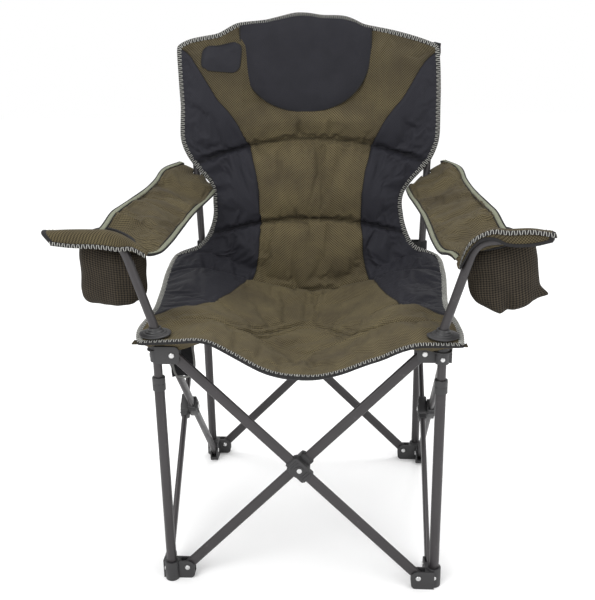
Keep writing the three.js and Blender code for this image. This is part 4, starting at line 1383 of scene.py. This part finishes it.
hem_foot = {
    "left": [(0.258, 0.655), (0.281, 0.667), (0.303, 0.666), (0.325, 0.669), (0.345, 0.671), (0.385, 0.672),
             (0.420, 0.676)],
    "right": [(0.275, 0.633), (0.283, 0.650), (0.294, 0.670), (0.311, 0.683), (0.331, 0.683), (0.352, 0.674),
              (0.393, 0.674), (0.424, 0.681)],
}
hem_tape = (0.0075, 0.0052, 0.0020)
hem_rows = ((0.004, 0.0), (-0.0098, 0.16), (-0.0132, 0.6), (-0.0128, 1.0), (0.0105, 0.97), (0.0132, 0.5))
cup_place = Vector((half + 0.090, front_y + 0.072, 0))
cup_hole_radius = 0.040
arm_cloth = 0.003
arm_sag = 0.012
arm_wave = 0.006
cup_dip_depth = 0.022
cup_dip_radius = 0.062
fold_over = 6.6              # the row at which the cloth starts to turn down over the post
arm_columns = 27


def arm_rows(name):
    """Rows of points for a right arm, from its rear end to its front hem, each from the inner edge out."""
    out = np.linspace(0, 1, arm_columns)
    rows = []
    for k, (outer, inner) in enumerate(zip(arm_outer, arm_inner)):
        row = np.outer(1 - out, inner) + np.outer(out, outer)
        row[:, 2] = outer[2] + (inner[2] - outer[2]) * (1 - out) ** 2
        row[:, 2] -= arm_sag * np.sin(np.pi * out) * math.sin(math.pi * k / (len(arm_outer) - 1))
        rows.append(row)
    at = out * (len(hem_top[name]) - 1)
    top_line, foot_line = through_points(hem_top[name], at), through_points(hem_foot[name], at)
    for reach, share in hem_rows:
        line = top_line * (1 - share) + foot_line * share
        rows.append(np.stack([line[:, 0], np.full(arm_columns, front_y + reach), line[:, 1]], -1))
    return np.array(rows)


olive_tape = tape_finish("olive_tape", (0.10, 0.105, 0.075, 1), (0.25, 0.26, 0.195, 1))
arm_pieces = {}
arm_edges = {}
for name, side in sides:
    rows = arm_rows(name)
    middle_line = through_points(rows[:, arm_columns // 2], np.linspace(0, len(rows) - 1, 600))
    run = lengths_along(middle_line[:, None], 0)[:, 0]
    at = np.interp(np.linspace(0, run[-1], int(run[-1] / 0.0055)), run, np.linspace(0, len(rows) - 1, 600))
    grid = np.stack([through_points(rows[:, c], at) for c in range(arm_columns)], 1)
    hem_share = np.clip((at - fold_over) / 0.4, 0, 1)
    grid[..., 0] *= side
    grid, at, hem_share = grid[::-1], at[::-1], hem_share[::-1]
    if side < 0:
        grid = grid[:, ::-1]
    out = np.linspace(0, 1, arm_columns)[::side]
    away = np.hypot(np.abs(grid[..., 0]) - cup_place.x, grid[..., 1] - cup_place.y)
    normals = grid_normals(grid)
    dips = np.array([[noise.noise(Vector((p.x * 13, p.y * 9, 2.0 + side))) for p in map(Vector, row)]
                     for row in grid])
    free = np.clip(np.minimum(out, 1 - out) / 0.12, 0, 1)[None] * (1 - hem_share)[:, None]
    free = free * np.clip((away - cup_hole_radius - 0.004) / 0.02, 0, 1)
    grid = grid + normals * (dips * arm_wave * free)[..., None]
    grid[..., 2] -= cup_dip_depth * (1 - hem_share)[:, None] * np.exp(-(away / cup_dip_radius) ** 4)
    sewn = np.clip(1.15 - free * 1.3, 0, 1)
    settled = crumpled(f"arm_cloth_{name}", grid, sewn, growth=0.06, cap=0.010, pressure=0.6, frames=18)
    grid = grid + (settled - grid) * free[..., None]
    grid = finer(grid, 1)
    normals = grid_normals(grid)
    flat = np.stack([lengths_along(grid, 1), lengths_along(grid, 0)], -1)
    # Painted shade: the seam mark of 0.0037 darkens the arms' cloth to about 0.8 of its colour, so their
    # upturned tops read less lit.
    marks = even_marks(grid, -0.1, 0.0037)
    arm = pad_mesh(f"arm_{name}", grid, grid - normals * arm_cloth, flat, marks, (normals, -normals),
                   (cover_cloth, cover_cloth))
    choose(arm)
    bpy.ops.mesh.customdata_custom_splitnormals_clear()
    hole = primitive("cup_hole", bpy.ops.mesh.primitive_cylinder_add, vertices=48, radius=cup_hole_radius,
                     depth=0.2, location=(side * cup_place.x, cup_place.y, arm_height - 0.03))
    subtract(arm, hole)
    low, high = upright_at(side, arm_height - 0.06), upright_at(side, arm_height + 0.08)
    hole = primitive("upright_hole", bpy.ops.mesh.primitive_cylinder_add, vertices=32,
                     radius=post_radius + 0.0015, depth=(high - low).length, location=(low + high) / 2,
                     rotation=(high - low).to_track_quat("Z", "Y").to_euler())
    subtract(arm, hole)
    smooth(arm, 50)
    arm_pieces[name] = arm
    arm_edges[name] = (grid - normals * (arm_cloth / 2), normals, at)


def arm_piece(piece, name, slot="olive_mesh"):
    """Gives a piece of an arm its body and its own copy of its mesh."""
    fit(piece, cover_cloth, slot, f"post_front_{name}")
    return folding(piece)


def sewn_tape(name, line, inward, lift, section, material, dress):
    """A plain tape without stitching over it; dress gives it its body."""
    line, inward, lift = evened(line, tape_step, inward, lift)
    dress(swept(name, line, unit(inward), unit(lift), section, material))


hem_points = 90
for name, side in sides:
    dress = lambda piece: arm_piece(piece, name)
    grid, normals, at = arm_edges[name]
    main = slice(int(np.searchsorted(-at, -7.6)), None)      # all but the part that turns over the post
    for edge, column, inner_column in (("outer", -1, -6), ("inner", 0, 5)):
        if side < 0:
            column, inner_column = -1 - column, -1 - inner_column
        line, lift = grid[main, column], normals[main, column]
        inward = unit(grid[main, inner_column] - line)
        line, lift, inward = relaxed(line, 3), unit(relaxed(lift, 6)), unit(relaxed(inward, 6))
        sewn_tape(f"arm_tape_{edge}_{name}", line, inward, lift, rounded_tape(0.0085, 0.0062, 0.0040),
                  olive_tape, dress)
        sewn_tape(f"arm_piping_{edge}_{name}", line, inward, lift,
                  rounded_tape(0.0036, 0.0056, -0.0008, 8, 2), black_tape, dress)
        sewn_tape(f"arm_seam_{edge}_{name}", line + lift * 0.0006, inward, lift,
                  rounded_tape(0.0022, 0.0052, 0.0094, 8, 2), black_tape, dress)
    hem_line = through_points(hem_foot[name], np.linspace(0, len(hem_foot[name]) - 1, hem_points))
    foot = np.stack([side * hem_line[:, 0], np.full(hem_points, front_y - 0.0148), hem_line[:, 1]], -1)
    up, out_front = np.tile((0, 0, 1.0), (hem_points, 1)), np.tile((0, -1.0, 0), (hem_points, 1))
    if name == "left":
        binding("arm_hem_left", foot, up, out_front, dress, hem_tape)
    else:
        sewn_tape("arm_hem_right", foot, up, out_front, rounded_tape(0.006, 0.0045, 0.002), black_tape, dress)
        hem_line = through_points(hem_top[name], np.linspace(0, len(hem_top[name]) - 1, hem_points))
        top = np.stack([side * hem_line[:, 0], np.full(hem_points, front_y - 0.0125),
                        hem_line[:, 1] - 0.0055], -1)
        tilt = unit(up + 0.25 * -out_front)
        binding("arm_hem_top_right", top, tilt, unit(out_front + 0.25 * up), dress, hem_tape)
    end_rows = np.flatnonzero(at > 8.0)
    column, inner_column = (-1, -3) if side > 0 else (0, 2)
    line, lift = grid[end_rows, column], normals[end_rows, column]
    inward = np.tile((-side * 1.0, 0, 0), (len(line), 1))
    sewn_tape(f"arm_end_tape_{name}", line, inward, lift, rounded_tape(0.010, 0.0056, 0.004),
              black_tape, dress)
    flat_length = float(lengths_along(grid, 0)[-1].mean())
    arm_piece(arm_pieces[name], name)
    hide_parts(f"arm_sling_{name}")

# ---------------------------------------------------------------------------------------------------
# Cup holders: limp bags of dark polyester net that hang under the holes in the arms, each rim taped.
net, shader = new_material("net", 0.8, shine=0.15)
cloth = own_cloth(net)
place = own_place(net)
net_pitch = 0.0042
strands = weave(net, cloth, net_pitch, 0.0)
worn = noise_of(net, place, 40, 4, 0.65)
strand_colour = blend_colours(net, worn, (0.026, 0.021, 0.015, 1), (0.060, 0.048, 0.032, 1))
feed(net, blend_colours(net, strands, (0.006, 0.005, 0.004, 1), strand_colour), shader, "Base Color")
raise_bumps(net, shader, strands, 0.0009, 0.8)

bag_profile = [  # share of the full width, share of the drop from the rim
    (0.86, 0.00), (0.94, 0.08), (0.99, 0.22), (1.00, 0.40), (1.00, 0.60), (0.99, 0.76), (0.94, 0.90),
    (0.82, 0.98), (0.55, 1.00), (0.25, 1.00), (0.02, 1.00)]
# Half-width, half-depth, rim height, lowest height, outward shift at the rim and at the foot, and the
# slope of the foot.
bags = {
    "left": (0.057, 0.046, 0.664, 0.549, -0.004, -0.004, 0.05),
    "right": (0.060, 0.046, 0.660, 0.537, 0.010, 0.024, 0.35),
}
bag_turns = 96
bag_squareness = 3.2
net_thickness = 0.0014
bag_angles = np.linspace(0, 2 * np.pi, bag_turns + 1)


def arm_underside(name, x, y):
    """How high the underside of an arm is over a place, or over the nearest of its points."""
    grid, _, at = arm_edges[name]
    flat_part = grid[at < 7.3].reshape(-1, 3)
    near = np.argmin(np.hypot(flat_part[:, 0] - x, flat_part[:, 1] - y))
    return flat_part[near, 2] - arm_cloth / 2


def net_bag(name, side):
    """A bag wide at the rim and round at the foot, gathered in pleats, and the points it is made from."""
    wide, deep, rim_z, foot_z, rim_shift, foot_shift, slope = bags[name]
    levels = np.linspace(0, len(bag_profile) - 1, 60)
    profile = through_points(np.array(bag_profile), levels)
    share, fall = profile[:, :1], np.clip(profile[:, 1:], 0, 1)
    angle = bag_angles[None]
    squared = (np.abs(np.cos(angle)) ** bag_squareness +
               np.abs(np.sin(angle)) ** bag_squareness) ** (-1 / bag_squareness)
    x, y = share * wide * squared * np.cos(angle), share * deep * squared * np.sin(angle)
    z = rim_z - fall * (rim_z - foot_z) + 0 * angle
    lean = rim_shift + (foot_shift - rim_shift) * fall
    z = z + fall ** 3 * slope * np.abs(x + 0.012 * fall) + 0 * angle
    push = np.array([[noise.noise(Vector((math.cos(a) * 1.9, math.sin(a) * 1.9, v * 26 + 5 * side)))
                      for a in bag_angles] for v in z[:, 0]])
    pleats = np.array([[noise.noise(Vector((a * 2.6, 7.7 + side, v * 7))) for a in bag_angles % (2 * np.pi)]
                       for v in z[:, 0]])
    give = (0.0045 * push + 0.004 * pleats) * np.clip(fall * 4, 0, 1) * np.clip(share * 1.6, 0, 1)
    x, y = x + give * np.cos(angle), y + give * np.sin(angle)
    if side > 0:
        corner = np.exp(-((angle - 5.9) / 0.26) ** 2 - ((fall - 0.80) / 0.09) ** 2)
        x, z = x + 0.015 * corner, z - 0.004 * corner
        tuck = np.exp(-((angle - 4.75) / 0.12) ** 2) * np.clip((fall - 0.6) / 0.3, 0, 1) * (share > 0.3)
        y = y + 0.008 * tuck
    points = np.stack([side * (cup_place.x + lean + x), cup_place.y + y, z], -1)
    heights = np.array([arm_underside(name, px, py) for px, py in points[0, :, :2]])
    for _ in range(8):
        heights = (np.roll(heights[:-1], 1) + 2 * heights[:-1] + np.roll(heights[:-1], -1)) / 4
        heights = np.append(heights, heights[0])
    points[..., 2] += (heights - 0.0015 - points[0, :, 2])[None] * (1 - np.clip(fall / 0.45, 0, 1)) ** 1.5
    mesh = bpy.data.meshes.new(f"cup_bag_{name}")
    rows, columns = points.shape[0], bag_turns
    quads, index = round_quads(rows, columns)
    mesh.from_pydata(points[:, :-1].reshape(-1, 3).tolist(), [], quads + [index[-1].tolist()])
    run = lengths_along(points, 0)
    around = bag_angles[None] * 0.052 + 0 * run
    uv = np.stack([around, run], -1)
    row_of = np.stack([np.arange(rows - 1), np.arange(1, rows), np.arange(1, rows), np.arange(rows - 1)], -1)
    column_of = np.stack([np.arange(columns), np.arange(columns), np.arange(columns) + 1,
                          np.arange(columns) + 1], -1)
    corner_uv = uv[row_of[:, None], column_of[None]].reshape(-1, 2)
    foot_uv = np.stack([points[-1, :-1, 0], points[-1, :-1, 1]], -1)
    mesh.uv_layers.new(name="UVMap").data.foreach_set(
        "uv", np.concatenate([corner_uv, foot_uv]).astype(np.float32).ravel())
    mesh.materials.append(net)
    bag = face_outwards(piece_of(mesh.name, mesh))
    modify(bag, "SOLIDIFY", thickness=net_thickness, offset=-1)
    return smooth(bag, 60), points


rim_points = 73
for name, side in sides:
    dress = lambda piece: arm_piece(piece, name)
    bag, points = net_bag(name, side)
    wide, deep, rim_z, foot_z = bags[name][:4]
    arm_piece(bag, name)
    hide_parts(f"cup_holder_{name}")
    grid, normals, at = arm_edges[name]
    ring = []
    for angle in np.linspace(0, 2 * math.pi, rim_points):
        spot = (side * cup_place.x + cup_hole_radius * math.cos(angle),
                cup_place.y + cup_hole_radius * math.sin(angle))
        near = np.argmin(np.hypot(grid[..., 0] - spot[0], grid[..., 1] - spot[1]) + (at[:, None] > 7.2))
        ring.append((*spot, grid.reshape(-1, 3)[near, 2]))
    ring = np.array(ring)
    ring[-1] = ring[0]
    ring[:, 2] = relaxed(ring[:, 2], 6)
    out_way = unit(ring * (1, 1, 0) - np.array([side * cup_place.x, cup_place.y, 0]))
    sewn_tape(f"cup_rim_{name}", ring, out_way, np.tile((0, 0, 1.0), (rim_points, 1)),
              rounded_tape(0.008, 0.0058, 0.003), black_tape, dress)

# ---------------------------------------------------------------------------------------------------
# Seat discs: black nylon flanges that clamp the seat round each arm post, with two raised steps and a
# short collar round the post.
disc_low, disc_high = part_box("seat_disc_right")
disc_radius = (disc_high.x - disc_low.x) / 2
disc_bore = post_radius + 0.0005
disc_profile = [  # radius, height above the disc's underside
    (disc_bore, 0.0), (disc_radius, 0.0), (disc_radius + 0.0002, 0.0022), (disc_radius - 0.004, 0.0032),
    (disc_radius - 0.0075, 0.0034), (disc_radius - 0.0085, 0.0052), (disc_radius - 0.013, 0.0055),
    (disc_radius - 0.0138, 0.0078), (post_radius + 0.004, 0.0085), (post_radius + 0.0032, 0.013),
    (disc_bore, 0.0132)]
washer_profile = [(disc_bore, 0), (0.017, 0), (0.0165, 0.002), (disc_bore, 0.002)]
washer_drop = 0.0285


def turned(name, profile, place, steps=64):
    """A closed profile turned about an upright axis."""
    mesh = bpy.data.meshes.new(name)
    count = len(profile)
    points = [(place[0] + r * math.cos(a), place[1] + r * math.sin(a), place[2] + z)
              for a in np.arange(steps) * 2 * math.pi / steps for r, z in profile]
    faces = [(k * count + i, ((k + 1) % steps) * count + i, ((k + 1) % steps) * count + (i + 1) % count,
              k * count + (i + 1) % count) for k in range(steps) for i in range(count)]
    mesh.from_pydata(points, [], faces)
    return soften(face_outwards(piece_of(name, mesh)), 0.0003, 30)


for name, side in sides:
    low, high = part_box(f"seat_disc_{name}")
    centre = (low + high) / 2
    disc = turned(f"disc_{name}", disc_profile, (centre.x, centre.y, low.z))
    fit(disc, moulded_nylon, "black_plastic", body_of[f"seat_disc_{name}"], f"seat_disc_{name}")
    washer = turned(f"disc_washer_{name}", washer_profile, (centre.x, centre.y, low.z - washer_drop), 40)
    fit(washer, moulded_nylon, "black_plastic", body_of[f"seat_disc_{name}"])

# ---------------------------------------------------------------------------------------------------
# Corner pieces: a small pocket with grey piping hangs under the seat behind the left arm post, and an
# olive corner patch is sewn under each front corner of the seat.
pocket_low, pocket_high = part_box("corner_pocket")
pocket = primitive("pocket", bpy.ops.mesh.primitive_cube_add, size=1, location=(pocket_low + pocket_high) / 2,
                   scale=pocket_high - pocket_low)
select_where(pocket, lambda co: True)
bpy.ops.mesh.subdivide(number_cuts=14)
leave_edit(pocket)
for vertex in pocket.data.vertices:
    co = vertex.co
    fall = (pocket_high.z - co.z) / (pocket_high.z - pocket_low.z)
    co.x += 0.006 * fall * math.sin(co.z * 40) + 0.003 * fall
    co.y += 0.004 * noise.noise(Vector((co.x * 30, 0.5, co.z * 24))) * (0.3 + fall)
    co.z += 0.004 * math.sin((co.x - pocket_low.x) * 90) * fall
pocket.data.uv_layers.remove(pocket.data.uv_layers[0])
uv = pocket.data.uv_layers.new(name="UVMap")
for loop in pocket.data.loops:
    co = pocket.data.vertices[loop.vertex_index].co
    uv.data[loop.index].uv = (co.x, co.z)
smooth(pocket, 50)
fit(pocket, lining_cloth, "black_polyester", body_of["corner_pocket"], "corner_pocket")
grey_tape = tape_finish("grey_tape", (0.09, 0.09, 0.085, 1), (0.23, 0.23, 0.22, 1))
pocket_corners = [
    (pocket_high.x - 0.001, pocket_high.z - 0.004), (pocket_high.x + 0.001, pocket_low.z + 0.02),
    (pocket_high.x - 0.006, pocket_low.z + 0.004), (pocket_low.x + 0.009, pocket_low.z + 0.002),
    (pocket_low.x + 0.002, pocket_low.z + 0.018), (pocket_low.x, pocket_high.z - 0.012)]
piping_points = 60
edge = through_points(pocket_corners, np.linspace(0, len(pocket_corners) - 1, piping_points))
line = np.stack([edge[:, 0], np.full(piping_points, pocket_low.y - 0.002), edge[:, 1]], -1)
way = unit(np.gradient(line, axis=0))
forward = np.tile((0, -1.0, 0), (piping_points, 1))
tape = swept("pocket_piping", line, unit(np.cross(way, forward)), forward,
             rounded_tape(0.0045, 0.0036, 0, 8, 2), grey_tape)
fit(tape, grey_tape, "black_polyester", body_of["corner_pocket"])

# Olive corner patches, each a crescent that hangs from the seat's front edge and folds under its
# corner: where it starts and ends, its lowest height, and the area of its cloth.
crescents = {"left": (-0.292, -0.160, 0.487, 0.0036), "right": (0.176, 0.294, 0.488, 0.0030)}
for name, (first_x, last_x, lowest, cloth_area) in crescents.items():
    across, down = np.meshgrid(np.linspace(0, 1, 41), np.linspace(0, 1, 15))
    x = first_x + (last_x - first_x) * across
    edge = through_points([s[1] for s in sling_stations], np.zeros(41))[:, 0]
    top = sling_at(x / edge * np.where(x < 0, 1 / left_spread, 1), 0.04 + 0 * x)
    hang = (top[..., 2] - lowest) * (1 - np.abs(2 * across - 1) ** 2.2)
    y = top[..., 1] + 0.004 + 0.020 * down
    z = top[..., 2] - 0.006 - down * np.maximum(hang, 0.001)
    grid = np.stack([x, y, z], -1)
    grid[..., 1] += 0.003 * np.sin(across * 17 + 1) * down
    normals = grid_normals(grid)
    flat = np.stack([lengths_along(grid, 1), lengths_along(grid, 0)], -1)
    flap = pad_mesh(f"corner_patch_{name}", grid, grid - normals * 0.0016, flat, even_marks(grid, -0.1, 0.1),
                    (normals, -normals), (cover_cloth, cover_cloth))
    seat_piece(flap, name)

# ---------------------------------------------------------------------------------------------------
# What holds the sling: a black sleeve sewn to each side of the back goes over the top of its upright,
# and straps of black webbing tie the seat's rear corners and the crease to the uprights.
webbing = tape_finish("webbing", (0.006, 0.006, 0.006, 1), (0.024, 0.024, 0.025, 1), 0.0016)
sleeve_foot_z = 0.842
sleeve_steps = 32
sleeve_cloth = 0.0012
turns_round = np.linspace(0, 2 * np.pi, sleeve_steps + 1)
levels = np.linspace(sleeve_foot_z, back_top_z + 0.004, 30)
strap_places = ((rim + 0.032, 0.030), (rim + 0.290, 0.016))      # height, how far the strap reaches inwards
strap_width, strap_thickness = 0.025, 0.0018
strap_steps = 49
for name, side in sides:
    rings = []
    for z in levels:
        spot = upright_at(side, min(z, back_top_z))
        spot.z = z
        wide = post_radius + 0.0045 + 0.0016 * math.sin(z * 90 + side) + 0.0008 * math.sin(z * 230)
        squeeze = 1 + 0.12 * math.sin(z * 55)
        rings.append([(spot.x + wide * squeeze * math.cos(a), spot.y + wide * math.sin(a), z)
                      for a in turns_round])
    rings.append([(spot.x + wide * 0.05 * math.cos(a), spot.y + wide * 0.05 * math.sin(a), levels[-1] + 0.003)
                  for a in turns_round])
    rings = np.array(rings)[:, :-1]
    mesh = bpy.data.meshes.new(f"upright_sleeve_{name}")
    quads, index = round_quads(len(rings), sleeve_steps)
    mesh.from_pydata(rings.reshape(-1, 3).tolist(), [], quads + [index[-1].tolist()])
    round_way = np.broadcast_to(turns_round[:-1] * 0.012, rings.shape[:2])
    lay_flat(mesh, np.stack([round_way, rings[..., 2]], -1))
    mesh.materials.append(lining_cloth)
    sleeve = face_outwards(piece_of(mesh.name, mesh))
    modify(sleeve, "SOLIDIFY", thickness=sleeve_cloth, offset=0)
    smooth(sleeve, 60)
    back_piece(sleeve)
    for level, reach in strap_places:
        spot = upright_at(side, level)
        angle = np.linspace(0, 2 * np.pi, strap_steps)
        loop_line = np.stack([spot.x - side * reach / 2 + (post_radius + 0.003 + reach / 2) * np.cos(angle),
                              spot.y + (post_radius + 0.003) * np.sin(angle),
                              np.full(strap_steps, level)], -1)
        out_way = unit(loop_line - np.array([spot.x - side * reach / 2, spot.y, level]))
        upward = np.tile((0, 0, 1.0), (strap_steps, 1))
        strap = swept(f"strap_{name}_{int(level * 1000)}", loop_line, upward, out_way,
                      rounded_tape(strap_width, strap_thickness, 0, 12, 5), webbing)
        back_piece(strap)
